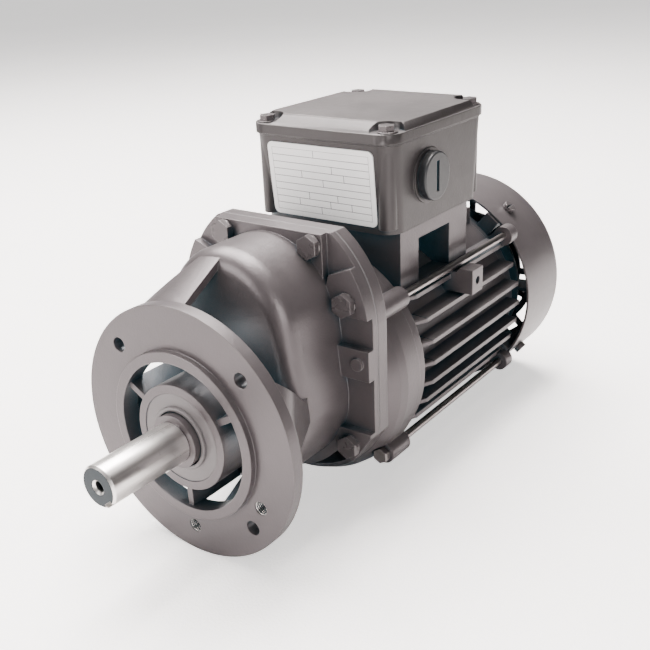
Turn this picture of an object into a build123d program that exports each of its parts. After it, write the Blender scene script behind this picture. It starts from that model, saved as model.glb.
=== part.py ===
from build123d import *
import os
from math import acos, cos, pi, radians, sin, sqrt, tan

os.makedirs("parts", exist_ok=True)

# An inline gear motor: a two-stage helical gear unit with a round output flange,
# driven by a fan-cooled squirrel-cage motor whose shaft lies on the same axis.
# The origin is the centre of the flange's mounting face. The output shaft points
# to -Y, the motor lies towards +Y, and +Z is up, towards the terminal box.
# All sizes are millimetres. A station is a distance along Y.

# Output flange, with its spigot and its hub
flange_diameter = 120.0
flange_thickness = 6.0
spigot_diameter = 80.0
spigot_height = 3.0
spigot_opening = 70.4
flange_bolt_circle = 100.0
flange_hole = 7.0
flange_hole_count = 4
jack_hole_circle = 94.0
jack_hole = 6.5
jack_hole_angles = (-30.0, -90.0)
hub_diameter = 50.0
hub_rib_count = 3
hub_rib_thickness = 3.0
hub_rib_setback = 2.0
hub_rib_angle = 30.0

# Gear case
case_width = 80.0
case_top_centre = 39.3
case_taper = 4.0
case_wall = 4.0
case_front = 30.0
case_front_radius = 9.0
neck_flange_width = 114.0
neck_end = 38.0
neck_window_high = 36.0
neck_window_low = 12.0
neck_seat = 1.0
hub_tail_wall = 4.0

# Joint between the gear case and the motor's front shield
joint_pad_front = 64.0
joint_pocket_depth = 4.0
joint_face = 71.5
joint_gasket = 0.5
joint_top = 78.0
joint_top_width = 66.0
joint_width = 109.0
joint_shoulder = 38.0
joint_ear = -17.0
joint_ear_tip = -32.0
joint_ear_width = 88.0
joint_bottom_radius = 45.0
joint_pad_half_width = 31.0
joint_foot_angle = 52.0
joint_bolt_high = (43.0, 48.0)
joint_bolt_low = (43.0, -23.0)
joint_bolt_top = (25.2, 72.2)
joint_bolt = 6.0
joint_bolt_flats = 10.0
joint_bolt_head = 4.0
joint_bolt_collar = 10.6
joint_bolt_collar_height = 0.8
bolt_play = 0.2
joint_bolt_length = 14.0
side_pad_low = 12.0
side_pad_high = 27.0
high_pad_low = 42.0
low_pad_high = -15.0
cast_stud = 6.0
cast_stud_place = (48.5, 20.0)
cast_stud_height = 1.5

# Output shaft, from its free end inwards
output_diameter = 19.05
output_end = -50.0
output_end_chamfer = 1.0
collar_diameter = 25.0
collar_front = -7.0
keyway_width = 4.76
keyway_depth = 2.4
keyway_length = 32.0
keyway_angle = -52.0
end_thread = 5.0
end_thread_depth = 16.0
output_gear_seat = 15.0
output_gear_key = 5.0

# Gears: two helical pairs on the same centre distance
centre_distance = 35.0
motor_pinion_teeth = 14
wheel_teeth = 55
shaft_pinion_teeth = 16
output_gear_teeth = 44
fast_helix = 9.7
slow_helix = 15.4
pressure_angle = 20.0
tooth_addendum = 0.67
tooth_dedendum = 1.05
tooth_play = 0.55
slow_gear_width = 13.0
fast_gear_width = 11.0
pinion_overlap = 1.0
gear_gap = 1.0
web_hub_wall = 6.0
web_rim_wall = 5.0
wheel_hub_wall = 5.0
wheel_rim_wall = 4.5
pinion_bore = 8.0
wheel_seat = 14.0

# Rolling bearings: bore, outer diameter, width
output_front_bearing = (20.0, 42.0, 12.0)
output_rear_bearing = (17.0, 35.0, 10.0)
lay_bearing = (10.0, 26.0, 8.0)
motor_front_bearing = (15.0, 35.0, 11.0)
motor_rear_bearing = (12.0, 32.0, 10.0)
race_wall = 0.22
ball_share = 0.30
race_play = 0.05
output_front_bearing_start = 6.0
output_rear_bearing_start = 30.0
lay_bearing_start = 33.0

# Shaft seals: outer diameter and width
output_seal = (42.0, 7.0)
motor_seal = (30.0, 7.0)
seal_lip_play = 0.03
seal_recess = 0.3
circlip_thickness = 1.2
circlip_height = 1.6
ring_groove_depth = 0.8

# Motor front shield
shield_flange = 7.0
bell_start_diameter = 108.0
bell_diameter = 117.0
bell_wall = 6.5
bell_rise = 7.0
bell_swell = 12.0
bell_edge = 2.0
shield_end = 104.0
shield_hub_wall = 4.5
shield_web_count = 4
shield_web = 4.0
tie_bolt_outset = 1.5
tie_bolt_angles = (40.0, 140.0, 220.0, 320.0)
tie_bolt = 4.0
tie_bolt_head = 7.0
tie_bolt_head_height = 4.0
tie_boss = 11.0
tie_boss_start = 88.0
tie_counterbore = 9.0

# Stator frame
frame_bore = 90.0
frame_wall = 3.5
frame_end = 217.0
frame_ring_step = 1.5
frame_ring_length = 5.0
register_length = 3.0
fin_circle = 112.0
fin_pitch = 11.0
fin_count = 7
fin_tip = 2.4
fin_root = 3.4
fin_start = 120.5
under_fin_count = 5
earth_boss_start = 155.0
earth_boss_length = 11.0
earth_boss_low = 25.0
earth_boss_high = 38.0
earth_boss_reach = 58.0
earth_thread = 4.2
earth_thread_depth = 9.0
rod_clearance = 0.8
foot_overlap = 4.0

# Pedestal under the terminal box
pedestal_start = 118.0
pedestal_end = 185.0
pedestal_width = 76.0
pedestal_pocket_start = 135.0
pedestal_pocket_end = 166.0
pedestal_pocket_depth = 18.0
pedestal_pocket_top = 58.0
lead_hole = 24.0
lead_station = 133.0

# Stator, rotor and motor shaft
core_start = 128.0
core_length = 60.0
core_bore = 52.8
slot_count = 24
slot_width = 3.2
slot_depth = 11.0
slot_mouth = 1.6
slot_lip = 1.2
slot_liner = 0.2
air_gap = 0.4
end_turn_length = 15.0
end_turn_outer = 84.0
end_turn_inner = 58.0
rotor_shaft_diameter = 18.0
end_ring = 6.0
end_ring_outer = 48.0
end_ring_inner = 36.0
rotor_bar = 3.4
rotor_bar_circle = 42.0
rotor_bar_count = 20
fan_seat = 11.0

# Rear shield, fan and cowl
rear_shield_thickness = 6.0
rear_lug_start = 213.5
rear_lug_end = 220.8
rear_arm_width = 9.0
rear_hub_wall = 4.0
rear_wall = 2.5
rear_shaft_hole = 15.0
preload_washer = 1.0
preload_washer_bore = 24.0
cowl_diameter = 120.0
cowl_sheet = 1.2
cowl_start = 221.0
cowl_end = 266.0
cowl_edge_radius = 6.0
cowl_screw_angle = 52.0
cowl_screw_count = 4
cowl_screw_station = 237.5
cowl_screw = 4.0
cowl_screw_head = 7.0
cowl_screw_head_height = 2.8
cowl_pad_width = 9.0
cowl_pad_depth = 5.2
cowl_pad_end = 243.0
grille_ring_count = 4
grille_slot = 6.0
grille_bar = 4.0
grille_margin = 10.0
grille_spokes = 8
grille_spoke = 4.0
fan_gap = 6.8
fan_start = 236.0
fan_blade_count = 8
fan_blade_length = 14.0
fan_blade = 2.0
fan_disc = 2.0
fan_disc_setback = 6.0
fan_hub = 24.0
fan_hub_start = 232.0
fan_hub_end = 248.0

# Terminal box
box_floor = 65.5
box_wall = 3.0
box_foot_width = 79.0
box_foot_start = 110.0
box_foot_end = 196.0
box_mouth_width = 81.6
box_mouth_start = 106.0
box_mouth_end = 198.0
box_corner = 9.0
box_gasket = 0.5
lid_gasket_thickness = 0.8
lid_rim = 4.7
lid_rise = 5.0
lid_panel_inset = 3.5
lid_panel_front_inset = 8.5
lid_wall = 2.5
lid_screw_inset = 6.0
lid_chamfer = 1.5
lid_screw_boss = 9.0
lid_pocket = 17.0
lid_screw = 4.0
lid_screw_flats = 7.0
lid_screw_head = 3.4
lid_screw_length = 16.0
plug_station = 140.0
plug_height = 89.0
plug_to_rim = 19.5
plug_head = 24.0
plug_head_thickness = 3.8
plug_pad = 27.0
plug_pad_rise = 0.4
plug_thread = 20.0
plug_edge = 1.0
plug_slot_width = 2.5
plug_slot_length = 15.0
plug_slot_depth = 2.5
plug_ring_thickness = 1.0
plug_ring_diameter = 23.0
plate_width = 62.0
plate_height = 37.0
plate_thickness = 0.6
plate_corner = 3.0
plate_to_rim = 2.5
block_length = 44.0
block_width = 26.0
block_height = 10.0
block_station = 170.0
block_wall = 1.6
stud = 4.0
stud_pitch = 14.0
stud_row = 14.0
stud_height = 12.0
link_width = 8.0
link_thickness = 1.2
nut_flats = 7.0
nut_height = 3.0
box_screw = 4.0
box_screw_head = 7.5
box_screw_head_height = 3.0
box_screw_length = 14.0
box_screw_places = ((24.0, 125.0), (26.0, 176.0))

# Worked out from the sizes above
fast_module = 2 * centre_distance / (motor_pinion_teeth + wheel_teeth)
slow_module = 2 * centre_distance / (shaft_pinion_teeth + output_gear_teeth)
output_rear_bearing_end = output_rear_bearing_start + output_rear_bearing[2]
lay_bearing_end = lay_bearing_start + lay_bearing[2]
hub_end = max(output_rear_bearing_end, lay_bearing_end)
slow_start = hub_end + gear_gap
slow_end = slow_start + slow_gear_width
output_tail = slow_end + circlip_thickness + gear_gap
box_top = plug_height + plug_to_rim
plug_pad_reach = box_mouth_width / 2 + plug_pad_rise
tie_bolt_circle = bell_diameter + 2 * tie_bolt_outset
shield_face = joint_face + joint_gasket
fast_end = shield_face - 2 * gear_gap
fast_start = fast_end - fast_gear_width
lay_rear_start = shield_face
shield_flange_end = shield_face + shield_flange
motor_bearing_start = shield_face + lay_bearing[2] + lay_bearing[2] / 2
motor_bearing_end = motor_bearing_start + motor_front_bearing[2]
core_end = core_start + core_length
rear_bearing_start = frame_end - 2.0
rear_bearing_end = rear_bearing_start + motor_rear_bearing[2]
inner_floor = box_floor + box_wall
washer_end = rear_bearing_end + preload_washer
rear_shield_end = washer_end + rear_wall
lid_floor = box_top + lid_gasket_thickness
lid_shoulder = lid_floor + lid_rim
lid_top = lid_shoulder + lid_rise
box_middle = (box_mouth_start + box_mouth_end) / 2
lid_screws = [(side * (box_mouth_width / 2 - lid_screw_inset), place) for side in (1, -1)
              for place in (box_mouth_start + lid_screw_inset, box_mouth_end - lid_screw_inset)]
box_screws = [(side * x, y) for x, y in box_screw_places for side in (1, -1)]
cowl_inner = cowl_diameter / 2 - cowl_sheet
cowl_pad_reach = sqrt(cowl_inner**2 - (cowl_pad_width / 2) ** 2) - bolt_play
cowl_pad_inner = cowl_inner - cowl_pad_depth
fan_diameter = 2 * (cowl_inner - fan_gap)
grille_rings = [cowl_diameter / 2 - grille_margin - row * (grille_slot + grille_bar)
                for row in range(grille_ring_count)]
cowl_angles = [cowl_screw_angle + 360 * n / cowl_screw_count for n in range(cowl_screw_count)]
seal_start = seal_recess - spigot_height
seal_groove_start = seal_start + output_seal[1] + 0.1
tie_points = [(tie_bolt_circle / 2 * cos(radians(a)), tie_bolt_circle / 2 * sin(radians(a)))
              for a in tie_bolt_angles]
joint_bolts = [(side * x, z) for x, z in (joint_bolt_high, joint_bolt_low, joint_bolt_top)
               for side in (1, -1)]


def keep(piece, name):
    """Label a finished piece and write it."""
    piece.part.label = name
    export_step(piece.part, f"parts/{name}.step")


def across(station):
    """The plane square to the shafts at a station, with X to the right and Z up."""
    return Plane.XZ.offset(-station)


def turn(outline, height=0.0, mode=Mode.ADD):
    """Revolve a closed outline of (radius, station) points about the shaft at a height."""
    with BuildSketch(Plane.XY.offset(height)) as profile:
        with BuildLine():
            Polyline(*outline, close=True)
        make_face()
    revolve(profile.sketch, axis=Axis((0, 0, height), (0, 1, 0)), mode=mode)


def ring(outer, inner, start, end, height=0.0, mode=Mode.ADD):
    """A plain ring, or a disc where its inner diameter is 0, between two stations."""
    turn([(inner / 2, start), (outer / 2, start), (outer / 2, end), (inner / 2, end)], height, mode)


def case_outline(inset=0.0):
    """The drum's outline: wide and round about the output shaft, narrower at its top."""
    Circle(case_width / 2 - inset)
    with Locations((0, case_top_centre)):
        Circle(case_width / 2 - case_taper - inset)
    make_hull()


def joint_outline():
    """The outline that the gear case and the motor share at their joint."""
    side = joint_width / 2
    shoulder = joint_top_width / 2
    ear = joint_ear_width / 2
    sweep = (0.45 * shoulder + 0.55 * side + 2.5, (joint_top + joint_shoulder) / 2 + 4.0)
    foot = joint_bottom_radius * sin(radians(joint_foot_angle))
    foot_height = -joint_bottom_radius * cos(radians(joint_foot_angle))
    with BuildLine() as half:
        Line((0, joint_top), (shoulder, joint_top))
        ThreePointArc((shoulder, joint_top), sweep, (side, joint_shoulder))
        Polyline((side, joint_shoulder), (side, joint_ear), (ear, joint_ear_tip), (foot, foot_height))
        ThreePointArc((foot, foot_height), (foot / 2, -sqrt(joint_bottom_radius**2 - foot**2 / 4)),
                      (0, -joint_bottom_radius))
        mirror(half.line, about=Plane.YZ)
    make_face(half.edges())


def tooth_outline(teeth, module, middle, height):
    """Points round a toothed wheel, one tooth's middle lying at the angle middle."""
    pitch = teeth * module / 2
    base = pitch * cos(radians(pressure_angle))
    root = pitch - tooth_dedendum * module
    tip = pitch + tooth_addendum * module
    flank = sorted({root, max(root, base), pitch, tip})

    def half_angle(radius):
        at_pitch = (pi * module / 2 - tooth_play / 2) / (2 * pitch)
        roll = acos(min(1.0, base / radius))
        start = radians(pressure_angle)
        return at_pitch + (tan(start) - start) - (tan(roll) - roll)

    points = []
    for tooth in range(teeth):
        centre = middle + 2 * pi * tooth / teeth
        rising = [(radius, centre - half_angle(radius)) for radius in flank]
        falling = [(radius, centre + half_angle(radius)) for radius in reversed(flank)]
        points += [(r * cos(a), height + r * sin(a)) for r, a in rising + falling]
    return points


def toothed(teeth, module, helix, middle, mesh_start, start, end, height):
    """A helical gear between two stations: both of a pair are in step at mesh_start."""
    ends = []
    for place in (start, end):
        twist = tan(radians(helix)) * (place - mesh_start) / (teeth * module / 2)
        with BuildSketch(across(place)) as face:
            with BuildLine():
                Polyline(*tooth_outline(teeth, module, middle + twist, height), close=True)
            make_face()
        ends.append(face.sketch)
    loft(ends, ruled=True)


def bearing(name, size, start, height=0.0):
    """A deep-groove ball bearing: its two rings and its row of balls."""
    bore, outer, width = size
    depth = (outer - bore) / 2
    pitch = (outer + bore) / 4
    ball = ball_share * depth
    inner_shoulder = bore / 2 + race_wall * depth + ball / 2
    outer_shoulder = outer / 2 - race_wall * depth - ball / 2
    middle = start + width / 2
    groove = ball + race_play
    with BuildPart() as outer_ring:
        ring(outer, 2 * outer_shoulder, start, start + width, height)
        with BuildSketch(Plane.XY.offset(height)) as track:
            with Locations((pitch, middle)):
                Circle(groove)
        revolve(track.sketch, axis=Axis((0, 0, height), (0, 1, 0)), mode=Mode.SUBTRACT)
    with BuildPart() as inner_ring:
        ring(2 * inner_shoulder, bore, start, start + width, height)
        revolve(track.sketch, axis=Axis((0, 0, height), (0, 1, 0)), mode=Mode.SUBTRACT)
    count = int(2 * pi * pitch / (2.9 * ball))
    with BuildPart(across(middle)) as balls:
        with Locations((0, height)):
            with PolarLocations(pitch, count):
                Sphere(ball)
    keep(outer_ring, f"{name}_outer_ring")
    keep(inner_ring, f"{name}_inner_ring")
    keep(balls, f"{name}_balls")


# Gear case: flange, hub, windowed neck, drum and joint face in one casting.
window_end = neck_end + neck_seat
window_outline = [(flange_thickness, neck_window_high), (case_front + case_wall, neck_window_low),
                  (window_end, neck_window_low), (window_end, flange_diameter),
                  (flange_thickness, flange_diameter)]
hub_bore_end = output_front_bearing_start + output_front_bearing[2]
hub_tail = output_rear_bearing[1] + 2 * hub_tail_wall
lay_boss = lay_bearing[1] + 2 * hub_tail_wall
pocket_corner = [(joint_pad_half_width, joint_top + 5), (joint_pad_half_width, 50),
                 (34, 60), (48, 65.5), (joint_width, 70), (joint_width, joint_top + 5)]

with BuildPart() as neck:
    with BuildSketch(across(flange_thickness - neck_seat)) as flange_end:
        SlotCenterToCenter(0.02, neck_flange_width, rotation=90)
    with BuildSketch(across(neck_end)) as drum_end:
        case_outline()
    loft([flange_end.sketch, drum_end.sketch])
    with BuildSketch(across(flange_thickness - neck_seat)) as flange_hollow:
        SlotCenterToCenter(0.02, neck_flange_width - 2 * case_wall, rotation=90)
    with BuildSketch(across(neck_end)) as drum_hollow:
        case_outline(case_wall)
    loft([flange_hollow.sketch, drum_hollow.sketch], mode=Mode.SUBTRACT)
    for quarter in range(4):
        with BuildSketch(Plane.YZ) as window:
            with BuildLine():
                Polyline(*window_outline, close=True)
            make_face()
        tool = extrude(window.sketch, amount=flange_diameter, mode=Mode.PRIVATE)
        add(tool.rotate(Axis.Y, 90 * quarter), mode=Mode.SUBTRACT)

with BuildPart() as gear_case:
    with BuildSketch(across(joint_pad_front)):
        joint_outline()
    extrude(amount=-(joint_face - joint_pad_front))
    with BuildSketch(across(joint_pad_front)):
        with BuildLine():
            Polyline(*pocket_corner, close=True)
        make_face()
        for low, high in ((side_pad_high, high_pad_low), (low_pad_high, side_pad_low)):
            with Locations((joint_width / 2, (low + high) / 2)):
                Rectangle(joint_width, high - low)
        mirror(about=Plane.YZ)
    extrude(amount=-joint_pocket_depth, mode=Mode.SUBTRACT)
    with BuildSketch(across(case_front)):
        case_outline()
    extrude(amount=-(joint_face - case_front))
    fillet(gear_case.faces().sort_by(Axis.Y)[0].edges(), case_front_radius)
    with BuildSketch(across(case_front + case_wall)):
        case_outline(case_wall)
    extrude(amount=-(joint_face - case_front), mode=Mode.SUBTRACT)
    add(neck.part)
    turn([(spigot_opening / 2, -spigot_height), (spigot_diameter / 2, -spigot_height),
          (spigot_diameter / 2, 0), (flange_diameter / 2, 0),
          (flange_diameter / 2, flange_thickness), (spigot_opening / 2, flange_thickness)])
    ring(hub_diameter, 0, -spigot_height, case_front + case_wall)
    ring(hub_tail, 0, case_front, output_rear_bearing_end)
    ring(lay_boss, 0, case_front + case_wall / 2, lay_bearing_end, centre_distance)
    rib_span = (spigot_opening - hub_diameter) / 2 + 2
    with BuildSketch(across(hub_rib_setback - spigot_height)):
        with PolarLocations((spigot_opening + hub_diameter) / 4, hub_rib_count, start_angle=hub_rib_angle):
            Rectangle(rib_span, hub_rib_thickness)
    extrude(amount=-(case_front - hub_rib_setback + spigot_height + 1))
    with BuildSketch(across(joint_pad_front)):
        with Locations(cast_stud_place, (-cast_stud_place[0], cast_stud_place[1])):
            Circle(cast_stud / 2)
    extrude(amount=cast_stud_height)
    ring(output_front_bearing[1], 0, -spigot_height, hub_bore_end, mode=Mode.SUBTRACT)
    ring(output_front_bearing[1] + 2 * ring_groove_depth, 0, seal_groove_start,
         output_front_bearing_start, mode=Mode.SUBTRACT)
    ring(output_rear_bearing[1] - 4, 0, hub_bore_end, output_rear_bearing_start, mode=Mode.SUBTRACT)
    ring(output_rear_bearing[1], 0, output_rear_bearing_start, joint_face, mode=Mode.SUBTRACT)
    ring(lay_bearing[1], 0, lay_bearing_start, joint_face, centre_distance, mode=Mode.SUBTRACT)
    with BuildSketch(across(0)):
        with PolarLocations(flange_bolt_circle / 2, flange_hole_count, start_angle=45):
            Circle(flange_hole / 2)
        for angle in jack_hole_angles:
            with PolarLocations(jack_hole_circle / 2, 1, start_angle=angle):
                Circle(jack_hole / 2)
    extrude(amount=-flange_thickness, mode=Mode.SUBTRACT)
    with BuildSketch(across(joint_pad_front)):
        with Locations(*joint_bolts):
            Circle(joint_bolt / 2 + bolt_play)
    extrude(amount=-(joint_face - joint_pad_front), mode=Mode.SUBTRACT)
keep(gear_case, "gear_case")

# Gasket between the gear case and the shield.
with BuildPart() as gear_case_gasket:
    with BuildSketch(across(joint_face)):
        joint_outline()
    extrude(amount=-joint_gasket)
    with BuildSketch(across(joint_face)):
        case_outline(case_wall)
        with Locations(*joint_bolts):
            Circle(joint_bolt / 2 + bolt_play)
    extrude(amount=-joint_gasket, mode=Mode.SUBTRACT)
keep(gear_case_gasket, "gear_case_gasket")

# Output shaft: stepped, with a collar for the seal and an open keyway.
shaft_radius = output_diameter / 2
gear_seat_radius = output_gear_seat / 2
groove_depth = circlip_height / 3
with BuildPart() as output_shaft:
    turn([(0, output_end), (shaft_radius - output_end_chamfer, output_end),
          (shaft_radius, output_end + output_end_chamfer), (shaft_radius, collar_front),
          (collar_diameter / 2, collar_front), (collar_diameter / 2, output_front_bearing_start),
          (output_front_bearing[0] / 2, output_front_bearing_start),
          (output_front_bearing[0] / 2, output_rear_bearing_start),
          (output_rear_bearing[0] / 2, output_rear_bearing_start),
          (output_rear_bearing[0] / 2, slow_start), (gear_seat_radius, slow_start),
          (gear_seat_radius, slow_end), (gear_seat_radius - groove_depth, slow_end),
          (gear_seat_radius - groove_depth, slow_end + circlip_thickness),
          (gear_seat_radius, slow_end + circlip_thickness), (gear_seat_radius, output_tail),
          (0, output_tail)])
    with BuildSketch(across(output_end)):
        with PolarLocations(shaft_radius, 1, start_angle=keyway_angle):
            Rectangle(2 * keyway_depth, keyway_width)
    extrude(amount=-keyway_length, mode=Mode.SUBTRACT)
    ring(end_thread, 0, output_end, output_end + end_thread_depth, mode=Mode.SUBTRACT)
    turn([(0, output_end), (end_thread / 2 + 1, output_end), (end_thread / 2, output_end + 1),
          (0, output_end + 1)], mode=Mode.SUBTRACT)
    with BuildSketch(across(slow_start)):
        with Locations((0, gear_seat_radius)):
            Rectangle(output_gear_key, output_gear_key)
    extrude(amount=-slow_gear_width, mode=Mode.SUBTRACT)
keep(output_shaft, "output_shaft")


def web_recess(start, width, inner, outer, height=0.0):
    """Thin a gear's web from both faces."""
    ring(outer, inner, start, start + width / 4, height, Mode.SUBTRACT)
    ring(outer, inner, start + 3 * width / 4, start + width, height, Mode.SUBTRACT)


# Output gear, on a key and held by a ring on the shaft.
with BuildPart() as output_gear:
    toothed(output_gear_teeth, slow_module, -slow_helix, pi / 2 + pi / output_gear_teeth,
            slow_start, slow_start, slow_end, 0)
    ring(output_gear_seat, 0, slow_start, slow_end, mode=Mode.SUBTRACT)
    web_recess(slow_start, slow_gear_width, output_gear_seat + 2 * web_hub_wall,
               output_gear_teeth * slow_module - 2 * web_rim_wall)
    with BuildSketch(across(slow_start)):
        with Locations((0, gear_seat_radius)):
            Rectangle(output_gear_key, output_gear_key)
    extrude(amount=-slow_gear_width, mode=Mode.SUBTRACT)
keep(output_gear, "output_gear")

with BuildPart() as output_gear_key_piece:
    with BuildSketch(across(slow_start)):
        with Locations((0, gear_seat_radius)):
            Rectangle(output_gear_key, output_gear_key)
    extrude(amount=-slow_gear_width)
keep(output_gear_key_piece, "output_gear_key")


def retaining_ring(name, shaft_diameter, start):
    """An open ring that sprung into its groove holds what stands before it on a shaft."""
    inner = shaft_diameter - 2 * groove_depth
    with BuildPart() as piece:
        ring(inner + 2 * circlip_height, inner, start, start + circlip_thickness)
        with BuildSketch(across(start)):
            with Locations((0, -shaft_diameter / 2)):
                Rectangle(shaft_diameter / 3, 2 * circlip_height + 1)
        extrude(amount=-circlip_thickness, mode=Mode.SUBTRACT)
    keep(piece, name)


retaining_ring("output_gear_circlip", output_gear_seat, slow_end)

# Layshaft: the slow pinion is cut on it, and the fast wheel is pressed on its seat.
lay_tail = lay_rear_start + lay_bearing[2] - 0.5
slow_pinion_end = slow_end + pinion_overlap
with BuildPart() as layshaft:
    toothed(shaft_pinion_teeth, slow_module, slow_helix, -pi / 2, slow_start, slow_start,
            slow_pinion_end, centre_distance)
    turn([(0, lay_bearing_start + 0.5), (lay_bearing[0] / 2, lay_bearing_start + 0.5),
          (lay_bearing[0] / 2, lay_bearing_end), (wheel_seat / 2, lay_bearing_end),
          (wheel_seat / 2, fast_end), (lay_bearing[0] / 2 + 1.5, fast_end),
          (lay_bearing[0] / 2 + 1.5, lay_rear_start), (lay_bearing[0] / 2, lay_rear_start),
          (lay_bearing[0] / 2, lay_tail), (0, lay_tail)], centre_distance)
keep(layshaft, "layshaft_with_pinion")

with BuildPart() as fast_wheel:
    toothed(wheel_teeth, fast_module, -fast_helix, -pi / 2, fast_start, fast_start, fast_end,
            centre_distance)
    ring(wheel_seat, 0, fast_start, fast_end, centre_distance, Mode.SUBTRACT)
    web_recess(fast_start, fast_gear_width, wheel_seat + 2 * wheel_hub_wall,
               wheel_teeth * fast_module - 2 * wheel_rim_wall, centre_distance)
keep(fast_wheel, "first_stage_wheel")

pinion_start = fast_start - gear_gap / 2
pinion_end = fast_end + gear_gap / 2
with BuildPart() as motor_pinion:
    toothed(motor_pinion_teeth, fast_module, fast_helix, pi / 2 + pi / motor_pinion_teeth,
            fast_start, pinion_start, pinion_end, 0)
    ring(pinion_bore, 0, pinion_start, pinion_end, mode=Mode.SUBTRACT)
keep(motor_pinion, "motor_pinion")

bearing("output_front_bearing", output_front_bearing, output_front_bearing_start)
bearing("output_rear_bearing", output_rear_bearing, output_rear_bearing_start)
bearing("layshaft_front_bearing", lay_bearing, lay_bearing_start, centre_distance)
bearing("layshaft_rear_bearing", lay_bearing, lay_rear_start, centre_distance)
bearing("motor_front_bearing", motor_front_bearing, motor_bearing_start)
bearing("motor_rear_bearing", motor_rear_bearing, rear_bearing_start)


def shaft_seal(name, size, shaft_diameter, start):
    """A lip seal: a cupped ring whose lip runs on the shaft."""
    outer, width = size
    lip = shaft_diameter / 2 + seal_lip_play
    wall = width / 5
    with BuildPart() as piece:
        turn([(outer / 2, start), (outer / 2, start + width), (outer / 2 - wall, start + width),
              (outer / 2 - wall, start + wall), (lip + 2 * wall, start + wall),
              (lip + 1.5 * wall, start + 3.5 * wall), (lip, start + 2.6 * wall),
              (lip + wall / 2, start)])
    keep(piece, name)


shaft_seal("output_shaft_seal", output_seal, collar_diameter, seal_start)
motor_seal_start = shield_face + 1.0
shaft_seal("motor_shaft_seal", motor_seal, motor_front_bearing[0], motor_seal_start)

# Front shield: the other half of the joint, the bell, and the bearing's hub.
motor_seal_end = motor_seal_start + motor_seal[1]
shield_hub = motor_front_bearing[1] + 2 * shield_hub_wall
shield_hub_end = motor_bearing_end + 2.0
bell_inner = bell_diameter - 2 * bell_wall
lay_pocket_end = lay_rear_start + lay_bearing[2]
with BuildPart() as front_shield:
    with BuildSketch(across(shield_face)):
        joint_outline()
    extrude(amount=-shield_flange)
    turn([(bell_inner / 2, shield_flange_end), (bell_start_diameter / 2, shield_flange_end),
          (bell_diameter / 2 - bell_edge / 2, shield_flange_end + bell_rise),
          (bell_diameter / 2, shield_flange_end + bell_swell),
          (bell_diameter / 2, shield_end - bell_edge),
          (bell_diameter / 2 - bell_edge, shield_end), (bell_inner / 2, shield_end)])
    ring(shield_hub, 0, shield_flange_end, shield_hub_end)
    ring(lay_bearing[1] + 8, 0, shield_flange_end, lay_pocket_end + 3, centre_distance)
    with BuildSketch(across(shield_flange_end)):
        web_reach = (bell_inner - shield_hub) / 2 + 2
        with PolarLocations((bell_inner + shield_hub) / 4, shield_web_count):
            Rectangle(web_reach, shield_web)
    extrude(amount=-(motor_bearing_end - shield_flange_end - 2))
    with BuildSketch(across(tie_boss_start)):
        with Locations(*tie_points):
            Circle(tie_boss / 2)
    extrude(amount=-(shield_end - tie_boss_start))
    with BuildSketch(across(shield_flange_end)):
        with Locations(*[place for place in tie_points if place[1] > 0]):
            Circle(tie_boss / 2)
    extrude(amount=-(tie_boss_start - shield_flange_end))
    ring(motor_seal[0], 0, shield_face, motor_seal_end, mode=Mode.SUBTRACT)
    ring(motor_front_bearing[0] + 4, 0, shield_face, motor_bearing_start, mode=Mode.SUBTRACT)
    ring(motor_front_bearing[1], 0, motor_bearing_start, shield_hub_end, mode=Mode.SUBTRACT)
    ring(lay_bearing[1], 0, shield_face, lay_pocket_end, centre_distance, Mode.SUBTRACT)
    with BuildSketch(across(tie_boss_start)):
        with Locations(*tie_points):
            Circle(tie_bolt / 2 + bolt_play)
    extrude(amount=-(shield_end - tie_boss_start), mode=Mode.SUBTRACT)
    with BuildSketch(across(shield_face)):
        with Locations(*tie_points):
            Circle(tie_counterbore / 2)
    extrude(amount=-(tie_boss_start - shield_face), mode=Mode.SUBTRACT)
    with BuildSketch(across(shield_face)):
        with Locations(*joint_bolts):
            Circle(joint_bolt / 2 + bolt_play)
    extrude(amount=-shield_flange, mode=Mode.SUBTRACT)
keep(front_shield, "front_end_shield")

# Stator frame: barrel, parallel fins, pedestal and earth lug in one casting.
barrel = frame_bore + 2 * frame_wall
fin_foot = frame_bore / 2 + frame_wall / 2
pedestal_top = box_floor - box_gasket


def fin(offset):
    """The outline of one tapered fin, standing along +X at a height."""
    foot = sqrt(fin_foot**2 - offset**2)
    reach = sqrt((fin_circle / 2) ** 2 - offset**2)
    with BuildLine() as edge:
        Polyline((foot, offset - fin_root / 2), (reach, offset - fin_tip / 2),
                 (reach, offset + fin_tip / 2), (foot, offset + fin_root / 2), close=True)
    return make_face(edge.edges(), mode=Mode.PRIVATE)


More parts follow.
